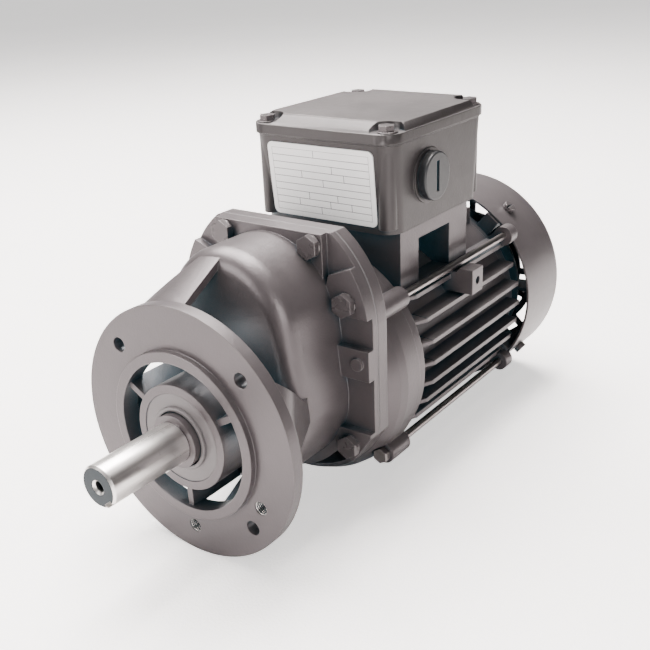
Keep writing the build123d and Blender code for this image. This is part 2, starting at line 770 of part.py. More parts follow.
with BuildPart() as stator_frame:
    ring(barrel, 0, shield_end, frame_end)
    ring(bell_diameter - 2 * frame_ring_step, 0, shield_end, shield_end + frame_ring_length)
    ring(bell_inner, 0, shield_end - register_length, shield_end)
    with BuildSketch(across(fin_start)):
        for row in range(fin_count):
            blade = fin((row - (fin_count - 1) / 2) * fin_pitch)
            add(blade)
            add(blade.mirror(Plane.YZ))
        for row in range(under_fin_count):
            blade = fin((row - (under_fin_count - 1) / 2) * fin_pitch)
            add(blade.rotate(Axis.Z, -90))
    extrude(amount=-(frame_end - fin_start))
    with BuildSketch(across(pedestal_end)):
        for row in range(under_fin_count):
            blade = fin((row - (under_fin_count - 1) / 2) * fin_pitch)
            add(blade.rotate(Axis.Z, 90))
    extrude(amount=-(frame_end - pedestal_end))
    with BuildSketch(across(pedestal_start)):
        with Locations((0, pedestal_top)):
            Rectangle(pedestal_width, pedestal_top - fin_pitch * 3, align=(Align.CENTER, Align.MAX))
    extrude(amount=-(pedestal_end - pedestal_start))
    with BuildSketch(across(pedestal_pocket_start)):
        for side in (1, -1):
            with Locations((side * (pedestal_width - pedestal_pocket_depth) / 2,
                            (pedestal_pocket_top + fin_pitch * 3 + fin_tip) / 2)):
                Rectangle(pedestal_pocket_depth, pedestal_pocket_top - fin_pitch * 3 - fin_tip)
    extrude(amount=-(pedestal_pocket_end - pedestal_pocket_start), mode=Mode.SUBTRACT)
    with BuildSketch(across(earth_boss_start)):
        rod_x, rod_z = tie_points[0]
        under_rod = rod_z - tie_bolt / 2 - rod_clearance
        beside_rod = rod_x + tie_bolt / 2 + rod_clearance
        with BuildLine():
            Polyline((frame_bore / 2 - foot_overlap, earth_boss_low), (earth_boss_reach, earth_boss_low),
                     (earth_boss_reach, earth_boss_high), (beside_rod + 1.5, earth_boss_high),
                     (beside_rod, under_rod), (frame_bore / 2 - foot_overlap, under_rod), close=True)
        make_face()
    extrude(amount=-earth_boss_length)
    ring(frame_bore, 0, shield_end - register_length, frame_end, mode=Mode.SUBTRACT)
    with BuildSketch(across(rear_lug_start - bolt_play)):
        with Locations(*tie_points):
            Circle(tie_boss / 2 + bolt_play)
    extrude(amount=-(frame_end - rear_lug_start + bolt_play), mode=Mode.SUBTRACT)
    with BuildSketch(Plane.YZ.offset(earth_boss_reach)):
        with Locations((earth_boss_start + earth_boss_length / 2,
                        (earth_boss_low + earth_boss_high) / 2)):
            Circle(earth_thread / 2)
    extrude(amount=-earth_thread_depth, mode=Mode.SUBTRACT)
    with BuildSketch(Plane.XY.offset(pedestal_top)):
        with Locations((0, lead_station)):
            Circle(lead_hole / 2)
    extrude(amount=-(pedestal_top - frame_bore / 2 + 5), mode=Mode.SUBTRACT)
    with BuildSketch(Plane.XY.offset(pedestal_top)):
        with Locations(*box_screws):
            Circle(box_screw / 2)
    extrude(amount=inner_floor - box_screw_length - pedestal_top, mode=Mode.SUBTRACT)
keep(stator_frame, "stator_frame")

# Ring in a groove of the hub, before the output shaft's front bearing.
with BuildPart() as bearing_retaining_ring:
    ring(output_front_bearing[1] + 2 * ring_groove_depth, output_front_bearing[1] - 2 * circlip_height,
         seal_groove_start, output_front_bearing_start)
    with BuildSketch(across(seal_groove_start)):
        with Locations((0, output_front_bearing[1] / 2)):
            Rectangle(output_front_bearing[1] / 4, 4 * circlip_height)
    extrude(amount=-(output_front_bearing_start - seal_groove_start), mode=Mode.SUBTRACT)
keep(bearing_retaining_ring, "bearing_retaining_ring")


def rotor_bar_rows():
    """The round holes of the rotor, and the bars that are cast in them."""
    with PolarLocations(rotor_bar_circle / 2, rotor_bar_count):
        Circle(rotor_bar / 2)


# Motor shaft, rotor and its cast cage.
fan_groove = fan_seat / 2 - groove_depth
fan_ring_end = fan_hub_end + circlip_thickness
with BuildPart() as motor_shaft:
    turn([(0, pinion_start), (pinion_bore / 2, pinion_start), (pinion_bore / 2, pinion_end),
          (motor_front_bearing[0] / 2, pinion_end), (motor_front_bearing[0] / 2, motor_bearing_end),
          (rotor_shaft_diameter / 2, motor_bearing_end), (rotor_shaft_diameter / 2, rear_bearing_start),
          (motor_rear_bearing[0] / 2, rear_bearing_start), (motor_rear_bearing[0] / 2, rear_bearing_end),
          (fan_seat / 2, rear_bearing_end), (fan_seat / 2, fan_hub_end), (fan_groove, fan_hub_end),
          (fan_groove, fan_ring_end), (fan_seat / 2, fan_ring_end),
          (fan_seat / 2, fan_ring_end + 1), (0, fan_ring_end + 1)])
keep(motor_shaft, "motor_shaft")

with BuildPart() as rotor_core:
    ring(core_bore - 2 * air_gap, rotor_shaft_diameter, core_start, core_end)
    with BuildSketch(across(core_start)):
        rotor_bar_rows()
    extrude(amount=-core_length, mode=Mode.SUBTRACT)
keep(rotor_core, "rotor_core")

with BuildPart() as rotor_cage:
    ring(end_ring_outer, end_ring_inner, core_start - end_ring, core_start)
    ring(end_ring_outer, end_ring_inner, core_end, core_end + end_ring)
    with BuildSketch(across(core_start)):
        rotor_bar_rows()
    extrude(amount=-core_length)
keep(rotor_cage, "rotor_cage")

# Stator core with its open slots, and the copper that lies in them.
slot_middle = core_bore / 2 + slot_lip + slot_depth / 2
with BuildPart() as stator_core:
    ring(frame_bore, core_bore, core_start, core_end)
    with BuildSketch(across(core_start)):
        with PolarLocations(slot_middle, slot_count):
            Rectangle(slot_depth, slot_width)
        with PolarLocations(core_bore / 2 + slot_lip / 2, slot_count):
            Rectangle(2 * slot_lip, slot_mouth)
    extrude(amount=-core_length, mode=Mode.SUBTRACT)
keep(stator_core, "stator_core")

with BuildPart() as stator_windings:
    for near, far in ((core_start, core_start - end_turn_length), (core_end, core_end + end_turn_length)):
        lean = (far - near) / 5
        turn([(end_turn_inner / 2, near), (end_turn_outer / 2, near), (end_turn_outer / 2, far - lean),
              (end_turn_outer / 2 - abs(lean), far), (end_turn_inner / 2 + abs(lean), far),
              (end_turn_inner / 2, far - lean)])
    with BuildSketch(across(core_start)):
        with PolarLocations(slot_middle, slot_count):
            Rectangle(slot_depth - 2 * slot_liner, slot_width - 2 * slot_liner)
    extrude(amount=-core_length)
keep(stator_windings, "stator_windings")


def outward(angle, reach):
    """The plane square to a radius, at the cowl screws' station and a distance from the shaft."""
    aim = (cos(radians(angle)), 0, sin(radians(angle)))
    return Plane(origin=(0, cowl_screw_station, 0), x_dir=(0, 1, 0), z_dir=aim).offset(reach)


# Rear shield: closes the barrel, holds the bearing, the tie bolts' ends and the cowl.
rear_hub = motor_rear_bearing[1] + 2 * rear_hub_wall
rear_disc_end = frame_end + rear_shield_thickness
with BuildPart() as rear_shield:
    ring(barrel, 0, frame_end, rear_disc_end)
    ring(frame_bore, frame_bore - 2 * rear_hub_wall, frame_end - register_length, frame_end)
    ring(rear_hub, 0, rear_bearing_start, rear_shield_end)
    with BuildSketch(across(frame_end)):
        for angle in tie_bolt_angles:
            with PolarLocations((frame_bore + tie_bolt_circle) / 4, 1, start_angle=angle):
                Rectangle((tie_bolt_circle - frame_bore) / 2 + foot_overlap, rear_arm_width)
    extrude(amount=-(rear_lug_end - frame_end))
    with BuildSketch(across(rear_lug_start)):
        with Locations(*tie_points):
            Circle(tie_boss / 2)
    extrude(amount=-(rear_lug_end - rear_lug_start))
    with BuildSketch(across(frame_end + register_length)):
        for angle in cowl_angles:
            with PolarLocations((rear_hub / 2 + cowl_pad_reach) / 2, 1, start_angle=angle):
                Rectangle(cowl_pad_reach - rear_hub / 2, cowl_pad_width)
    extrude(amount=-(rear_shield_thickness - register_length))
    with BuildSketch(across(frame_end + register_length)):
        for angle in cowl_angles:
            with PolarLocations((cowl_pad_inner + cowl_pad_reach) / 2, 1, start_angle=angle):
                Rectangle(cowl_pad_reach - cowl_pad_inner, cowl_pad_width)
    extrude(amount=-(cowl_pad_end - frame_end - register_length))
    ring(motor_rear_bearing[1], 0, rear_bearing_start, washer_end, mode=Mode.SUBTRACT)
    ring(rear_shaft_hole, 0, washer_end, rear_shield_end, mode=Mode.SUBTRACT)
    with BuildSketch(across(rear_lug_start)):
        with Locations(*tie_points):
            Circle(tie_bolt / 2)
    extrude(amount=-(rear_lug_end - rear_lug_start), mode=Mode.SUBTRACT)
    for angle in cowl_angles:
        with BuildSketch(outward(angle, cowl_pad_inner)):
            Circle(cowl_screw / 2)
        extrude(amount=cowl_inner - cowl_pad_inner, mode=Mode.SUBTRACT)
keep(rear_shield, "rear_end_shield")

with BuildPart() as bearing_preload_washer:
    ring(motor_rear_bearing[1], preload_washer_bore, rear_bearing_end, washer_end)
keep(bearing_preload_washer, "bearing_preload_washer")

# Fan: a disc with straight blades on a hub, so that it works in either direction.
blade_root = fan_hub / 2 - fan_blade
with BuildPart() as fan:
    ring(fan_hub, 0, fan_hub_start, fan_hub_end)
    ring(fan_diameter - 2 * fan_disc_setback, 0, fan_start, fan_start + fan_disc)
    with BuildSketch(across(fan_start)):
        with PolarLocations((blade_root + fan_diameter / 2) / 2, fan_blade_count):
            Rectangle(fan_diameter / 2 - blade_root, fan_blade)
    extrude(amount=-fan_blade_length)
    ring(fan_seat, 0, fan_hub_start, fan_start + fan_blade_length, mode=Mode.SUBTRACT)
keep(fan, "fan")

retaining_ring("fan_retaining_ring", fan_seat, fan_hub_end)

# Fan cowl: one drawn sheet with a grille of slotted rings.
with BuildPart() as fan_cowl:
    ring(cowl_diameter, 0, cowl_start, cowl_end)
    fillet(fan_cowl.edges().sort_by(Axis.Y)[-1], cowl_edge_radius)
    offset(amount=-cowl_sheet, openings=fan_cowl.faces().sort_by(Axis.Y)[0])
    with BuildSketch(across(cowl_end - 2 * cowl_sheet)):
        for outer in grille_rings:
            Circle(outer)
            Circle(outer - grille_slot, mode=Mode.SUBTRACT)
        for spoke in range(grille_spokes):
            Rectangle(cowl_diameter, grille_spoke, rotation=180 * spoke / grille_spokes, mode=Mode.SUBTRACT)
    extrude(amount=-3 * cowl_sheet, mode=Mode.SUBTRACT)
    for angle in cowl_angles:
        with BuildSketch(outward(angle, cowl_inner - cowl_sheet)):
            Circle(cowl_screw / 2)
        extrude(amount=3 * cowl_sheet, mode=Mode.SUBTRACT)
keep(fan_cowl, "fan_cowl")

with BuildPart() as cowl_screws:
    for angle in cowl_angles:
        with BuildSketch(outward(angle, cowl_pad_inner)):
            Circle(cowl_screw / 2)
        extrude(amount=cowl_diameter / 2 - cowl_pad_inner + bolt_play)
        with BuildSketch(outward(angle, cowl_diameter / 2 + bolt_play)):
            Circle(cowl_screw_head / 2)
        extrude(amount=cowl_screw_head_height)
        with BuildSketch(outward(angle, cowl_diameter / 2 + cowl_screw_head_height / 2)):
            Rectangle(cowl_screw_head, cowl_screw / 4)
        extrude(amount=cowl_screw_head_height, mode=Mode.SUBTRACT)
keep(cowl_screws, "fan_cowl_screws")


def hex_bolts(name, places, seat, flats, head, diameter, length, collar=0.0, collar_height=0.0):
    """Hexagon bolts that point to +Y, with their heads seated at a station."""
    with BuildPart() as bolts:
        with BuildSketch(across(seat - collar_height)):
            with Locations(*places):
                RegularPolygon(flats / 2, 6, major_radius=False, rotation=30)
        extrude(amount=head - collar_height)
        if collar:
            with BuildSketch(across(seat)):
                with Locations(*places):
                    Circle(collar / 2)
            extrude(amount=collar_height)
        with BuildSketch(across(seat)):
            with Locations(*places):
                Circle(diameter / 2)
        extrude(amount=-length)
    keep(bolts, name)


hex_bolts("gear_case_bolts", joint_bolts, joint_pad_front, joint_bolt_flats, joint_bolt_head, joint_bolt,
          joint_bolt_length, joint_bolt_collar, joint_bolt_collar_height)
hex_bolts("tie_bolts", tie_points, tie_boss_start, tie_bolt_head, tie_bolt_head_height, tie_bolt,
          rear_lug_end - tie_boss_start)


def box_section(height, inset=0.0):
    """The terminal box's rounded outline at a height, for its walls lean outwards."""
    rise = (height - box_floor) / (box_top - box_floor)
    width = box_foot_width + rise * (box_mouth_width - box_foot_width)
    start = box_foot_start + rise * (box_mouth_start - box_foot_start)
    end = box_foot_end + rise * (box_mouth_end - box_foot_end)
    with BuildSketch(Plane.XY.offset(height)) as section:
        with Locations((0, (start + end) / 2)):
            RectangleRounded(width - 2 * inset, end - start - 2 * inset, box_corner - inset)
    return section.sketch


wall_reach = (box_foot_width + (plug_height - box_floor) / (box_top - box_floor)
              * (box_mouth_width - box_foot_width)) / 2
with BuildPart() as terminal_box:
    loft([box_section(box_floor), box_section(box_top)])
    loft([box_section(inner_floor, box_wall), box_section(box_top, box_wall)], mode=Mode.SUBTRACT)
    with BuildSketch(Plane.XY.offset(inner_floor)):
        with Locations(*lid_screws):
            Circle(lid_screw_boss / 2)
    extrude(amount=box_top - inner_floor)
    with BuildSketch(Plane.YZ.offset(wall_reach - box_wall)):
        with Locations((plug_station, plug_height)):
            Circle(plug_pad / 2)
    extrude(amount=plug_pad_reach - wall_reach + box_wall)
    with BuildSketch(Plane.YZ.offset(wall_reach - 2 * box_wall)):
        with Locations((plug_station, plug_height)):
            Circle(plug_thread / 2)
    extrude(amount=3 * box_wall, mode=Mode.SUBTRACT)
    with BuildSketch(Plane.XY.offset(box_top)):
        with Locations(*lid_screws):
            Circle(lid_screw / 2)
    extrude(amount=-lid_screw_length, mode=Mode.SUBTRACT)
    with BuildSketch(Plane.XY.offset(inner_floor)):
        with Locations((0, lead_station)):
            Circle(lead_hole / 2)
        with Locations(*box_screws):
            Circle(box_screw / 2 + bolt_play)
    extrude(amount=-box_wall, mode=Mode.SUBTRACT)
keep(terminal_box, "terminal_box")

with BuildPart() as terminal_box_gasket:
    with BuildSketch(Plane.XY.offset(pedestal_top)):
        with Locations((0, (pedestal_start + pedestal_end) / 2)):
            Rectangle(pedestal_width, pedestal_end - pedestal_start)
        with Locations((0, lead_station)):
            Circle(lead_hole / 2, mode=Mode.SUBTRACT)
        with Locations(*box_screws):
            Circle(box_screw / 2 + bolt_play, mode=Mode.SUBTRACT)
    extrude(amount=box_gasket)
keep(terminal_box_gasket, "terminal_box_gasket")

with BuildPart() as lid_gasket:
    with BuildSketch(Plane.XY.offset(box_top)):
        with Locations((0, box_middle)):
            RectangleRounded(box_mouth_width, box_mouth_end - box_mouth_start, box_corner)
            RectangleRounded(box_mouth_width - 2 * box_wall, box_mouth_end - box_mouth_start - 2 * box_wall,
                             box_corner - box_wall, mode=Mode.SUBTRACT)
        with Locations(*lid_screws):
            Circle(lid_screw_boss / 2)
            Circle(lid_screw / 2 + bolt_play, mode=Mode.SUBTRACT)
    extrude(amount=lid_gasket_thickness)
keep(lid_gasket, "terminal_lid_gasket")

# Lid: a rim that follows the box, and a raised panel cut round at its screws.
panel_start = box_mouth_start + lid_panel_front_inset
panel_end = box_mouth_end - lid_panel_inset
with BuildPart() as terminal_lid:
    with BuildSketch(Plane.XY.offset(lid_floor)):
        with Locations((0, box_middle)):
            RectangleRounded(box_mouth_width, box_mouth_end - box_mouth_start, box_corner)
    extrude(amount=lid_rim)
    with BuildSketch(Plane.XY.offset(lid_shoulder)):
        with Locations((0, (panel_start + panel_end) / 2)):
            RectangleRounded(box_mouth_width - 2 * lid_panel_inset, panel_end - panel_start, box_corner / 2)
        with Locations(*lid_screws):
            Circle(lid_pocket / 2, mode=Mode.SUBTRACT)
    extrude(amount=lid_rise)
    chamfer(terminal_lid.faces().sort_by(Axis.Z)[-1].edges(), lid_chamfer)
    with BuildSketch(Plane.XY.offset(lid_floor)):
        with Locations((0, (panel_start + panel_end) / 2)):
            RectangleRounded(box_mouth_width - 2 * lid_panel_inset - 2 * lid_wall,
                             panel_end - panel_start - 2 * lid_wall, box_corner / 2)
        with Locations(*lid_screws):
            Circle(lid_pocket / 2 + lid_wall, mode=Mode.SUBTRACT)
    extrude(amount=lid_top - lid_floor - lid_wall, mode=Mode.SUBTRACT)
    with BuildSketch(Plane.XY.offset(lid_floor)):
        with Locations(*lid_screws):
            Circle(lid_screw / 2 + bolt_play)
    extrude(amount=lid_rim, mode=Mode.SUBTRACT)
keep(terminal_lid, "terminal_box_lid")


def upright(piece_places, plane_height, outline, amount):
    """Stand the same outline on several places of a level plane."""
    with BuildSketch(Plane.XY.offset(plane_height)) as outlines:
        with Locations(*piece_places):
            outline()
    extrude(outlines.sketch, amount=amount)


with BuildPart() as lid_screw_set:
    upright(lid_screws, lid_shoulder, lambda: RegularPolygon(lid_screw_flats / 2, 6, major_radius=False),
            lid_screw_head)
    upright(lid_screws, lid_shoulder, lambda: Circle(lid_screw / 2), -lid_screw_length)
keep(lid_screw_set, "terminal_lid_screws")

with BuildPart() as box_screw_set:
    upright(box_screws, inner_floor, lambda: Circle(box_screw_head / 2), box_screw_head_height)
    upright(box_screws, inner_floor, lambda: Circle(box_screw / 2), -box_screw_length)
keep(box_screw_set, "terminal_box_screws")

# Terminal block with its six studs, nuts and links.
block_top = inner_floor + block_height
studs = [(column * stud_pitch, block_station + row * stud_row / 2) for column in (-1, 0, 1)
         for row in (-1, 1)]
links = [(column * stud_pitch, block_station) for column in (-1, 0, 1)]
with BuildPart() as terminal_block:
    upright([(0, block_station)], inner_floor, lambda: Rectangle(block_length, block_width), block_height)
    upright([((column + 0.5) * stud_pitch, block_station) for column in (-2, -1, 0, 1)], block_top,
            lambda: Rectangle(block_wall, block_width), block_wall)
keep(terminal_block, "terminal_block")

with BuildPart() as terminal_studs:
    upright(studs, block_top, lambda: Circle(stud / 2), stud_height)
keep(terminal_studs, "terminal_studs")

with BuildPart() as terminal_links:
    with BuildSketch(Plane.XY.offset(block_top)):
        with Locations(*links):
            SlotCenterToCenter(stud_row, link_width, rotation=90)
        with Locations(*studs):
            Circle(stud / 2, mode=Mode.SUBTRACT)
    extrude(amount=link_thickness)
keep(terminal_links, "terminal_links")

with BuildPart() as terminal_nuts:
    with BuildSketch(Plane.XY.offset(block_top + link_thickness)):
        with Locations(*studs):
            RegularPolygon(nut_flats / 2, 6, major_radius=False)
            Circle(stud / 2, mode=Mode.SUBTRACT)
    extrude(amount=nut_height)
keep(terminal_nuts, "terminal_nuts")

# Blanking plug in the cable entry, with its sealing ring.
plug_seat = plug_pad_reach + plug_ring_thickness


def at_plug(reach):
    """The upright plane at the cable entry, at a distance to the right."""
    return Plane(origin=(reach, plug_station, plug_height), x_dir=(0, 1, 0), z_dir=(1, 0, 0))


with BuildPart() as blanking_plug:
    with BuildSketch(at_plug(plug_seat)):
        Circle(plug_head / 2)
    extrude(amount=plug_head_thickness)
    fillet(blanking_plug.faces().sort_by(Axis.X)[-1].edges(), plug_edge)
    with BuildSketch(at_plug(plug_seat)):
        Circle(plug_thread / 2)
    extrude(amount=-(plug_seat - wall_reach + box_wall))
    with BuildSketch(at_plug(plug_seat + plug_head_thickness)):
        Rectangle(plug_slot_width, plug_slot_length)
    extrude(amount=-plug_slot_depth, mode=Mode.SUBTRACT)
keep(blanking_plug, "blanking_plug")

with BuildPart() as blanking_plug_ring:
    with BuildSketch(at_plug(plug_pad_reach)):
        Circle(plug_ring_diameter / 2)
        Circle(plug_thread / 2, mode=Mode.SUBTRACT)
    extrude(amount=plug_ring_thickness)
keep(blanking_plug_ring, "blanking_plug_ring")

# Rating plate, flat on the leaning front wall of the box.
lean = (box_foot_start - box_mouth_start) / (box_top - box_floor)
plate_middle = box_top - plate_to_rim - plate_height / 2
plate_origin = (0, box_foot_start - lean * (plate_middle - box_floor), plate_middle)
with BuildPart() as rating_plate:
    with BuildSketch(Plane(origin=plate_origin, x_dir=(1, 0, 0), z_dir=(0, -1, -lean))):
        RectangleRounded(plate_width, plate_height, plate_corner)
    extrude(amount=plate_thickness)
keep(rating_plate, "rating_plate")
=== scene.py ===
# %% [markdown]
# # A gear motor in grey paint, bright steel and white film
# The machine arrives as a fixed CAD frame: every casting, shaft and screw is already at its real size.
# This lesson gives each of them a surface, adds the small things that a drawing leaves out, and lights
# the whole like a studio photograph. The frame is loaded first, because every later step takes its
# places and sizes from it.

# %% Load the machine
from math import pi, radians

import bmesh
import bpy
from mathutils import Matrix, Vector


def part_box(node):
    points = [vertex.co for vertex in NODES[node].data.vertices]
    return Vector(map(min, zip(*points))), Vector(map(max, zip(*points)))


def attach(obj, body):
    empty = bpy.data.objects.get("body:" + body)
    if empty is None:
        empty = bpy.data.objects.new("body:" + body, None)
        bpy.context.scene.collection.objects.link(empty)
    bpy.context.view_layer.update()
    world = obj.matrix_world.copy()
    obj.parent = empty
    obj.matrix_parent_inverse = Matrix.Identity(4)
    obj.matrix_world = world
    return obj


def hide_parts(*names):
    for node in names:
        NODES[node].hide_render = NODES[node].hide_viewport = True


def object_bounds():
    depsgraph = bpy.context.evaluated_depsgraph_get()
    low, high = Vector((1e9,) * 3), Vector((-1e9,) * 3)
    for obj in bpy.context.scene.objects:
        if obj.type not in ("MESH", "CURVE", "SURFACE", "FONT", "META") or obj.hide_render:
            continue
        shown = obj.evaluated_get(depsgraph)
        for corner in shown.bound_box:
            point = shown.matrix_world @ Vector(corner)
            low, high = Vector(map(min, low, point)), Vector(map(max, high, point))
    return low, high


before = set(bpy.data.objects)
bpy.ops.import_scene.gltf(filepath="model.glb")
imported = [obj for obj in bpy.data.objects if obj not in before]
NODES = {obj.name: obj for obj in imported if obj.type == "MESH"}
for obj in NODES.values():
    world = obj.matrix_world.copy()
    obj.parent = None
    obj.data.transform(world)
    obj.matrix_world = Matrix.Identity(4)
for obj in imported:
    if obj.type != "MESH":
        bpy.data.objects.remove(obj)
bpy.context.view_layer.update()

MM = 0.001
print("nodes in the frame:", len(NODES))

# %% [markdown]
# ## Camera
# The photograph was taken from the front right, a little above the lid. The camera's place and angles
# were solved from the flange's circles and the terminal box's corners. It could be aimed by a constraint,
# but three plain turns are exact and leave nothing live. The small roll and shift put the machine on the
# same pixels, so a render can be laid over the photograph.

# %% The camera
CAMERA_PLACE = (0.2658, -0.2487, 0.1981)
CAMERA_AZIMUTH = 37.11
CAMERA_ELEVATION = 23.67
CAMERA_ROLL = -2.66
CAMERA_LENS = 51.7
CAMERA_SHIFT = (0.0035, 0.0278)
CAMERA_NEAR = 10 * MM


def make_camera():
    """A camera that looks along +Y before it is tilted down, turned round and rolled."""
    data = bpy.data.cameras.new("studio_camera")
    data.lens = CAMERA_LENS
    data.shift_x, data.shift_y = CAMERA_SHIFT
    data.clip_start = CAMERA_NEAR
    camera = bpy.data.objects.new("studio_camera", data)
    turn = Matrix.Rotation(radians(CAMERA_AZIMUTH), 4, "Z")
    tilt = Matrix.Rotation(radians(90 - CAMERA_ELEVATION), 4, "X")
    roll = Matrix.Rotation(radians(CAMERA_ROLL), 4, "Z")
    camera.matrix_world = Matrix.Translation(CAMERA_PLACE) @ turn @ tilt @ roll
    bpy.context.scene.collection.objects.link(camera)
    bpy.context.scene.camera = camera
    return camera


camera = make_camera()
print("camera at", [round(v, 3) for v in camera.matrix_world.translation])

# %% [markdown]
# ## Node helpers
# A material here is a graph of nodes. Written out in full, each graph would fill a page, so short helpers
# do what repeats: feed fills a socket, add places a node, calc does one step of arithmetic, blend_colour
# mixes two colours by a mask, and new_group opens a group with named sockets.


# %% Helpers for node trees
def feed(tree, socket, value):
    """Link a socket to another one, or give it a plain value."""
    if isinstance(value, bpy.types.NodeSocket):
        tree.links.new(value, socket)
    else:
        socket.default_value = value


def add(tree, kind, settings=None, **sockets):
    """Add a node: settings are its own options, and the rest are its sockets by name."""
    node = tree.nodes.new(kind)
    for name, value in (settings or {}).items():
        setattr(node, name, value)
    for name, value in sockets.items():
        feed(tree, node.inputs[name.replace("_", " ")], value)
    return node


def calc(tree, operation, first, second=0.0, third=0.0, clamp=False):
    """One step of arithmetic on values."""
    node = tree.nodes.new("ShaderNodeMath")
    node.operation = operation
    node.use_clamp = clamp
    for socket, value in zip(node.inputs, (first, second, third)):
        feed(tree, socket, value)
    return node.outputs[0]


def blend_colour(tree, share, under, over):
    """Mix two colours by a mask. A Mix node keeps its colour sockets at 6 and 7, and its result at 2."""
    node = tree.nodes.new("ShaderNodeMix")
    node.data_type = "RGBA"
    feed(tree, node.inputs[0], share)
    feed(tree, node.inputs[6], under)
    feed(tree, node.inputs[7], over)
    return node.outputs[2]


def new_group(name, inputs, outputs):
    """A reusable node group with named sockets."""
    tree = bpy.data.node_groups.new(name, "ShaderNodeTree")
    for label, kind, value in inputs:
        socket = tree.interface.new_socket(label, in_out="INPUT", socket_type=kind)
        if value is not None:
            socket.default_value = value
    for label, kind in outputs:
        tree.interface.new_socket(label, in_out="OUTPUT", socket_type=kind)
    return tree, tree.nodes.new("NodeGroupInput").outputs, tree.nodes.new("NodeGroupOutput").inputs


def colour(red, green, blue):
    """A colour socket's value."""
    return (red, green, blue, 1.0)


def toned(tint, share):
    """A tint made lighter or deeper."""
    return colour(*(channel * share for channel in tint))


VALUE = "NodeSocketFloat"
VECTOR = "NodeSocketVector"

# %% [markdown]
# ## Tone
# No real surface has one even colour: paint gathers and thins, and steel stains. The slow drift and the
# fine speckle could each be drawn into every material. One group that puts out both keeps them alike, and
# each material gives its own scales.


# %% Tone: slow and fine variation
def build_tone():
    tree, given, result = new_group(
        "tone", [("Place", VECTOR, None), ("Broad", VALUE, 14.0), ("Fine", VALUE, 160.0)],
        [("Slow", VALUE), ("Quick", VALUE)])
    slow = add(tree, "ShaderNodeTexNoise", Vector=given["Place"], Scale=given["Broad"], Detail=3.0)
    quick = add(tree, "ShaderNodeTexNoise", Vector=given["Place"], Scale=given["Fine"], Detail=4.0,
                Roughness=0.6)
    feed(tree, result["Slow"], slow.outputs["Fac"])
    feed(tree, result["Quick"], quick.outputs["Fac"])
    return tree


TONE = build_tone()
print("group:", TONE.name)

# %% [markdown]
# ## Edge wear
# A casting that is lifted and knocked about loses its paint on the edges first. Pointiness would show
# edges too, but only where the mesh is dense. A Bevel node bends the normal near an edge on any mesh, so
# the angle between that normal and the true one is the mask, and a noise breaks it into patches.

# %% Wear: where an edge is rubbed
EDGE_WIDTH = 0.9 * MM
RUB_START = 0.42


def build_wear():
    tree, given, result = new_group(
        "edge_wear", [("Place", VECTOR, None), ("Strength", VALUE, 3.0), ("Patches", VALUE, 60.0)],
        [("Mask", VALUE)])
    rounded = add(tree, "ShaderNodeBevel", {"samples": 4}, Radius=EDGE_WIDTH)
    true = tree.nodes.new("ShaderNodeNewGeometry")
    along = tree.nodes.new("ShaderNodeVectorMath")
    along.operation = "DOT_PRODUCT"
    feed(tree, along.inputs[0], rounded.outputs["Normal"])
    feed(tree, along.inputs[1], true.outputs["Normal"])
    turned = calc(tree, "SUBTRACT", 1.0, along.outputs["Value"])
    patches = add(tree, "ShaderNodeTexNoise", Vector=given["Place"], Scale=given["Patches"], Detail=5.0)
    rubbed = calc(tree, "SUBTRACT", patches.outputs["Fac"], RUB_START, clamp=True)
    edge = calc(tree, "MULTIPLY", turned, given["Strength"])
    feed(tree, result["Mask"], calc(tree, "MULTIPLY", edge, rubbed, clamp=True))
    return tree


WEAR = build_wear()
print("group:", WEAR.name)

# %% [markdown]
# ## Dust
# Workshop dust lies on faces that look up: the lid, the tops of the fins, the crown of the drum. It could
# be scattered as grains, but at this distance it is only a paler, rougher film. So the upward share of the
# normal is the mask, and two noises, one fine and one broad, break it up.

# %% Dust: what settles on faces that look up
DUST_SLOPE = 1.3
DUST_START = -0.35
DUST_CLOUDS = 25.0
DUST_GAIN = 3.0


def build_dust():
    tree, given, result = new_group(
        "settled_dust", [("Place", VECTOR, None), ("Amount", VALUE, 0.3), ("Grain", VALUE, 220.0)],
        [("Mask", VALUE)])
    face = tree.nodes.new("ShaderNodeNewGeometry")
    parts = tree.nodes.new("ShaderNodeSeparateXYZ")
    feed(tree, parts.inputs[0], face.outputs["Normal"])
    up = calc(tree, "MULTIPLY_ADD", parts.outputs["Z"], DUST_SLOPE, DUST_START, clamp=True)
    specks = add(tree, "ShaderNodeTexNoise", Vector=given["Place"], Scale=given["Grain"], Detail=6.0,
                 Roughness=0.7)
    spread = add(tree, "ShaderNodeTexNoise", Vector=given["Place"], Scale=DUST_CLOUDS, Detail=3.0)
    lying = calc(tree, "MULTIPLY", specks.outputs["Fac"], spread.outputs["Fac"])
    dusty = calc(tree, "MULTIPLY", up, calc(tree, "MULTIPLY", lying, DUST_GAIN))
    feed(tree, result["Mask"], calc(tree, "MULTIPLY", dusty, given["Amount"], clamp=True))
    return tree


DUST = build_dust()
print("group:", DUST.name)

# %% [markdown]
# ## Painted crevice shade
# Between the fins, behind the flange and in every hole the machine is nearly black, with a trace of blue
# green from the room. Light alone leaves such places grey on a pale floor, so that shade is painted into
# the colour. An ambient occlusion node tells how closed in a point is, and past a threshold that becomes a
# mask of painted shade.

# %% Painted shade: the dark painted into gaps, corners and holes
# Painted shade: a near-black blue green for closed-in places
PAINTED_SHADE = colour(0.0090, 0.0450, 0.0640)


def build_crevice_shade():
    tree, given, result = new_group(
        "crevice_shade", [("Reach", VALUE, 0.045), ("Start", VALUE, 0.56), ("Gain", VALUE, 3.6)],
        [("Mask", VALUE)])
    open_share = add(tree, "ShaderNodeAmbientOcclusion", {"samples": 8}, Distance=given["Reach"])
    closed = calc(tree, "SUBTRACT", 1.0, open_share.outputs["AO"])
    past = calc(tree, "SUBTRACT", closed, given["Start"])
    feed(tree, result["Mask"], calc(tree, "MULTIPLY", past, given["Gain"], clamp=True))
    return tree


CREVICE_SHADE = build_crevice_shade()
print("group:", CREVICE_SHADE.name)

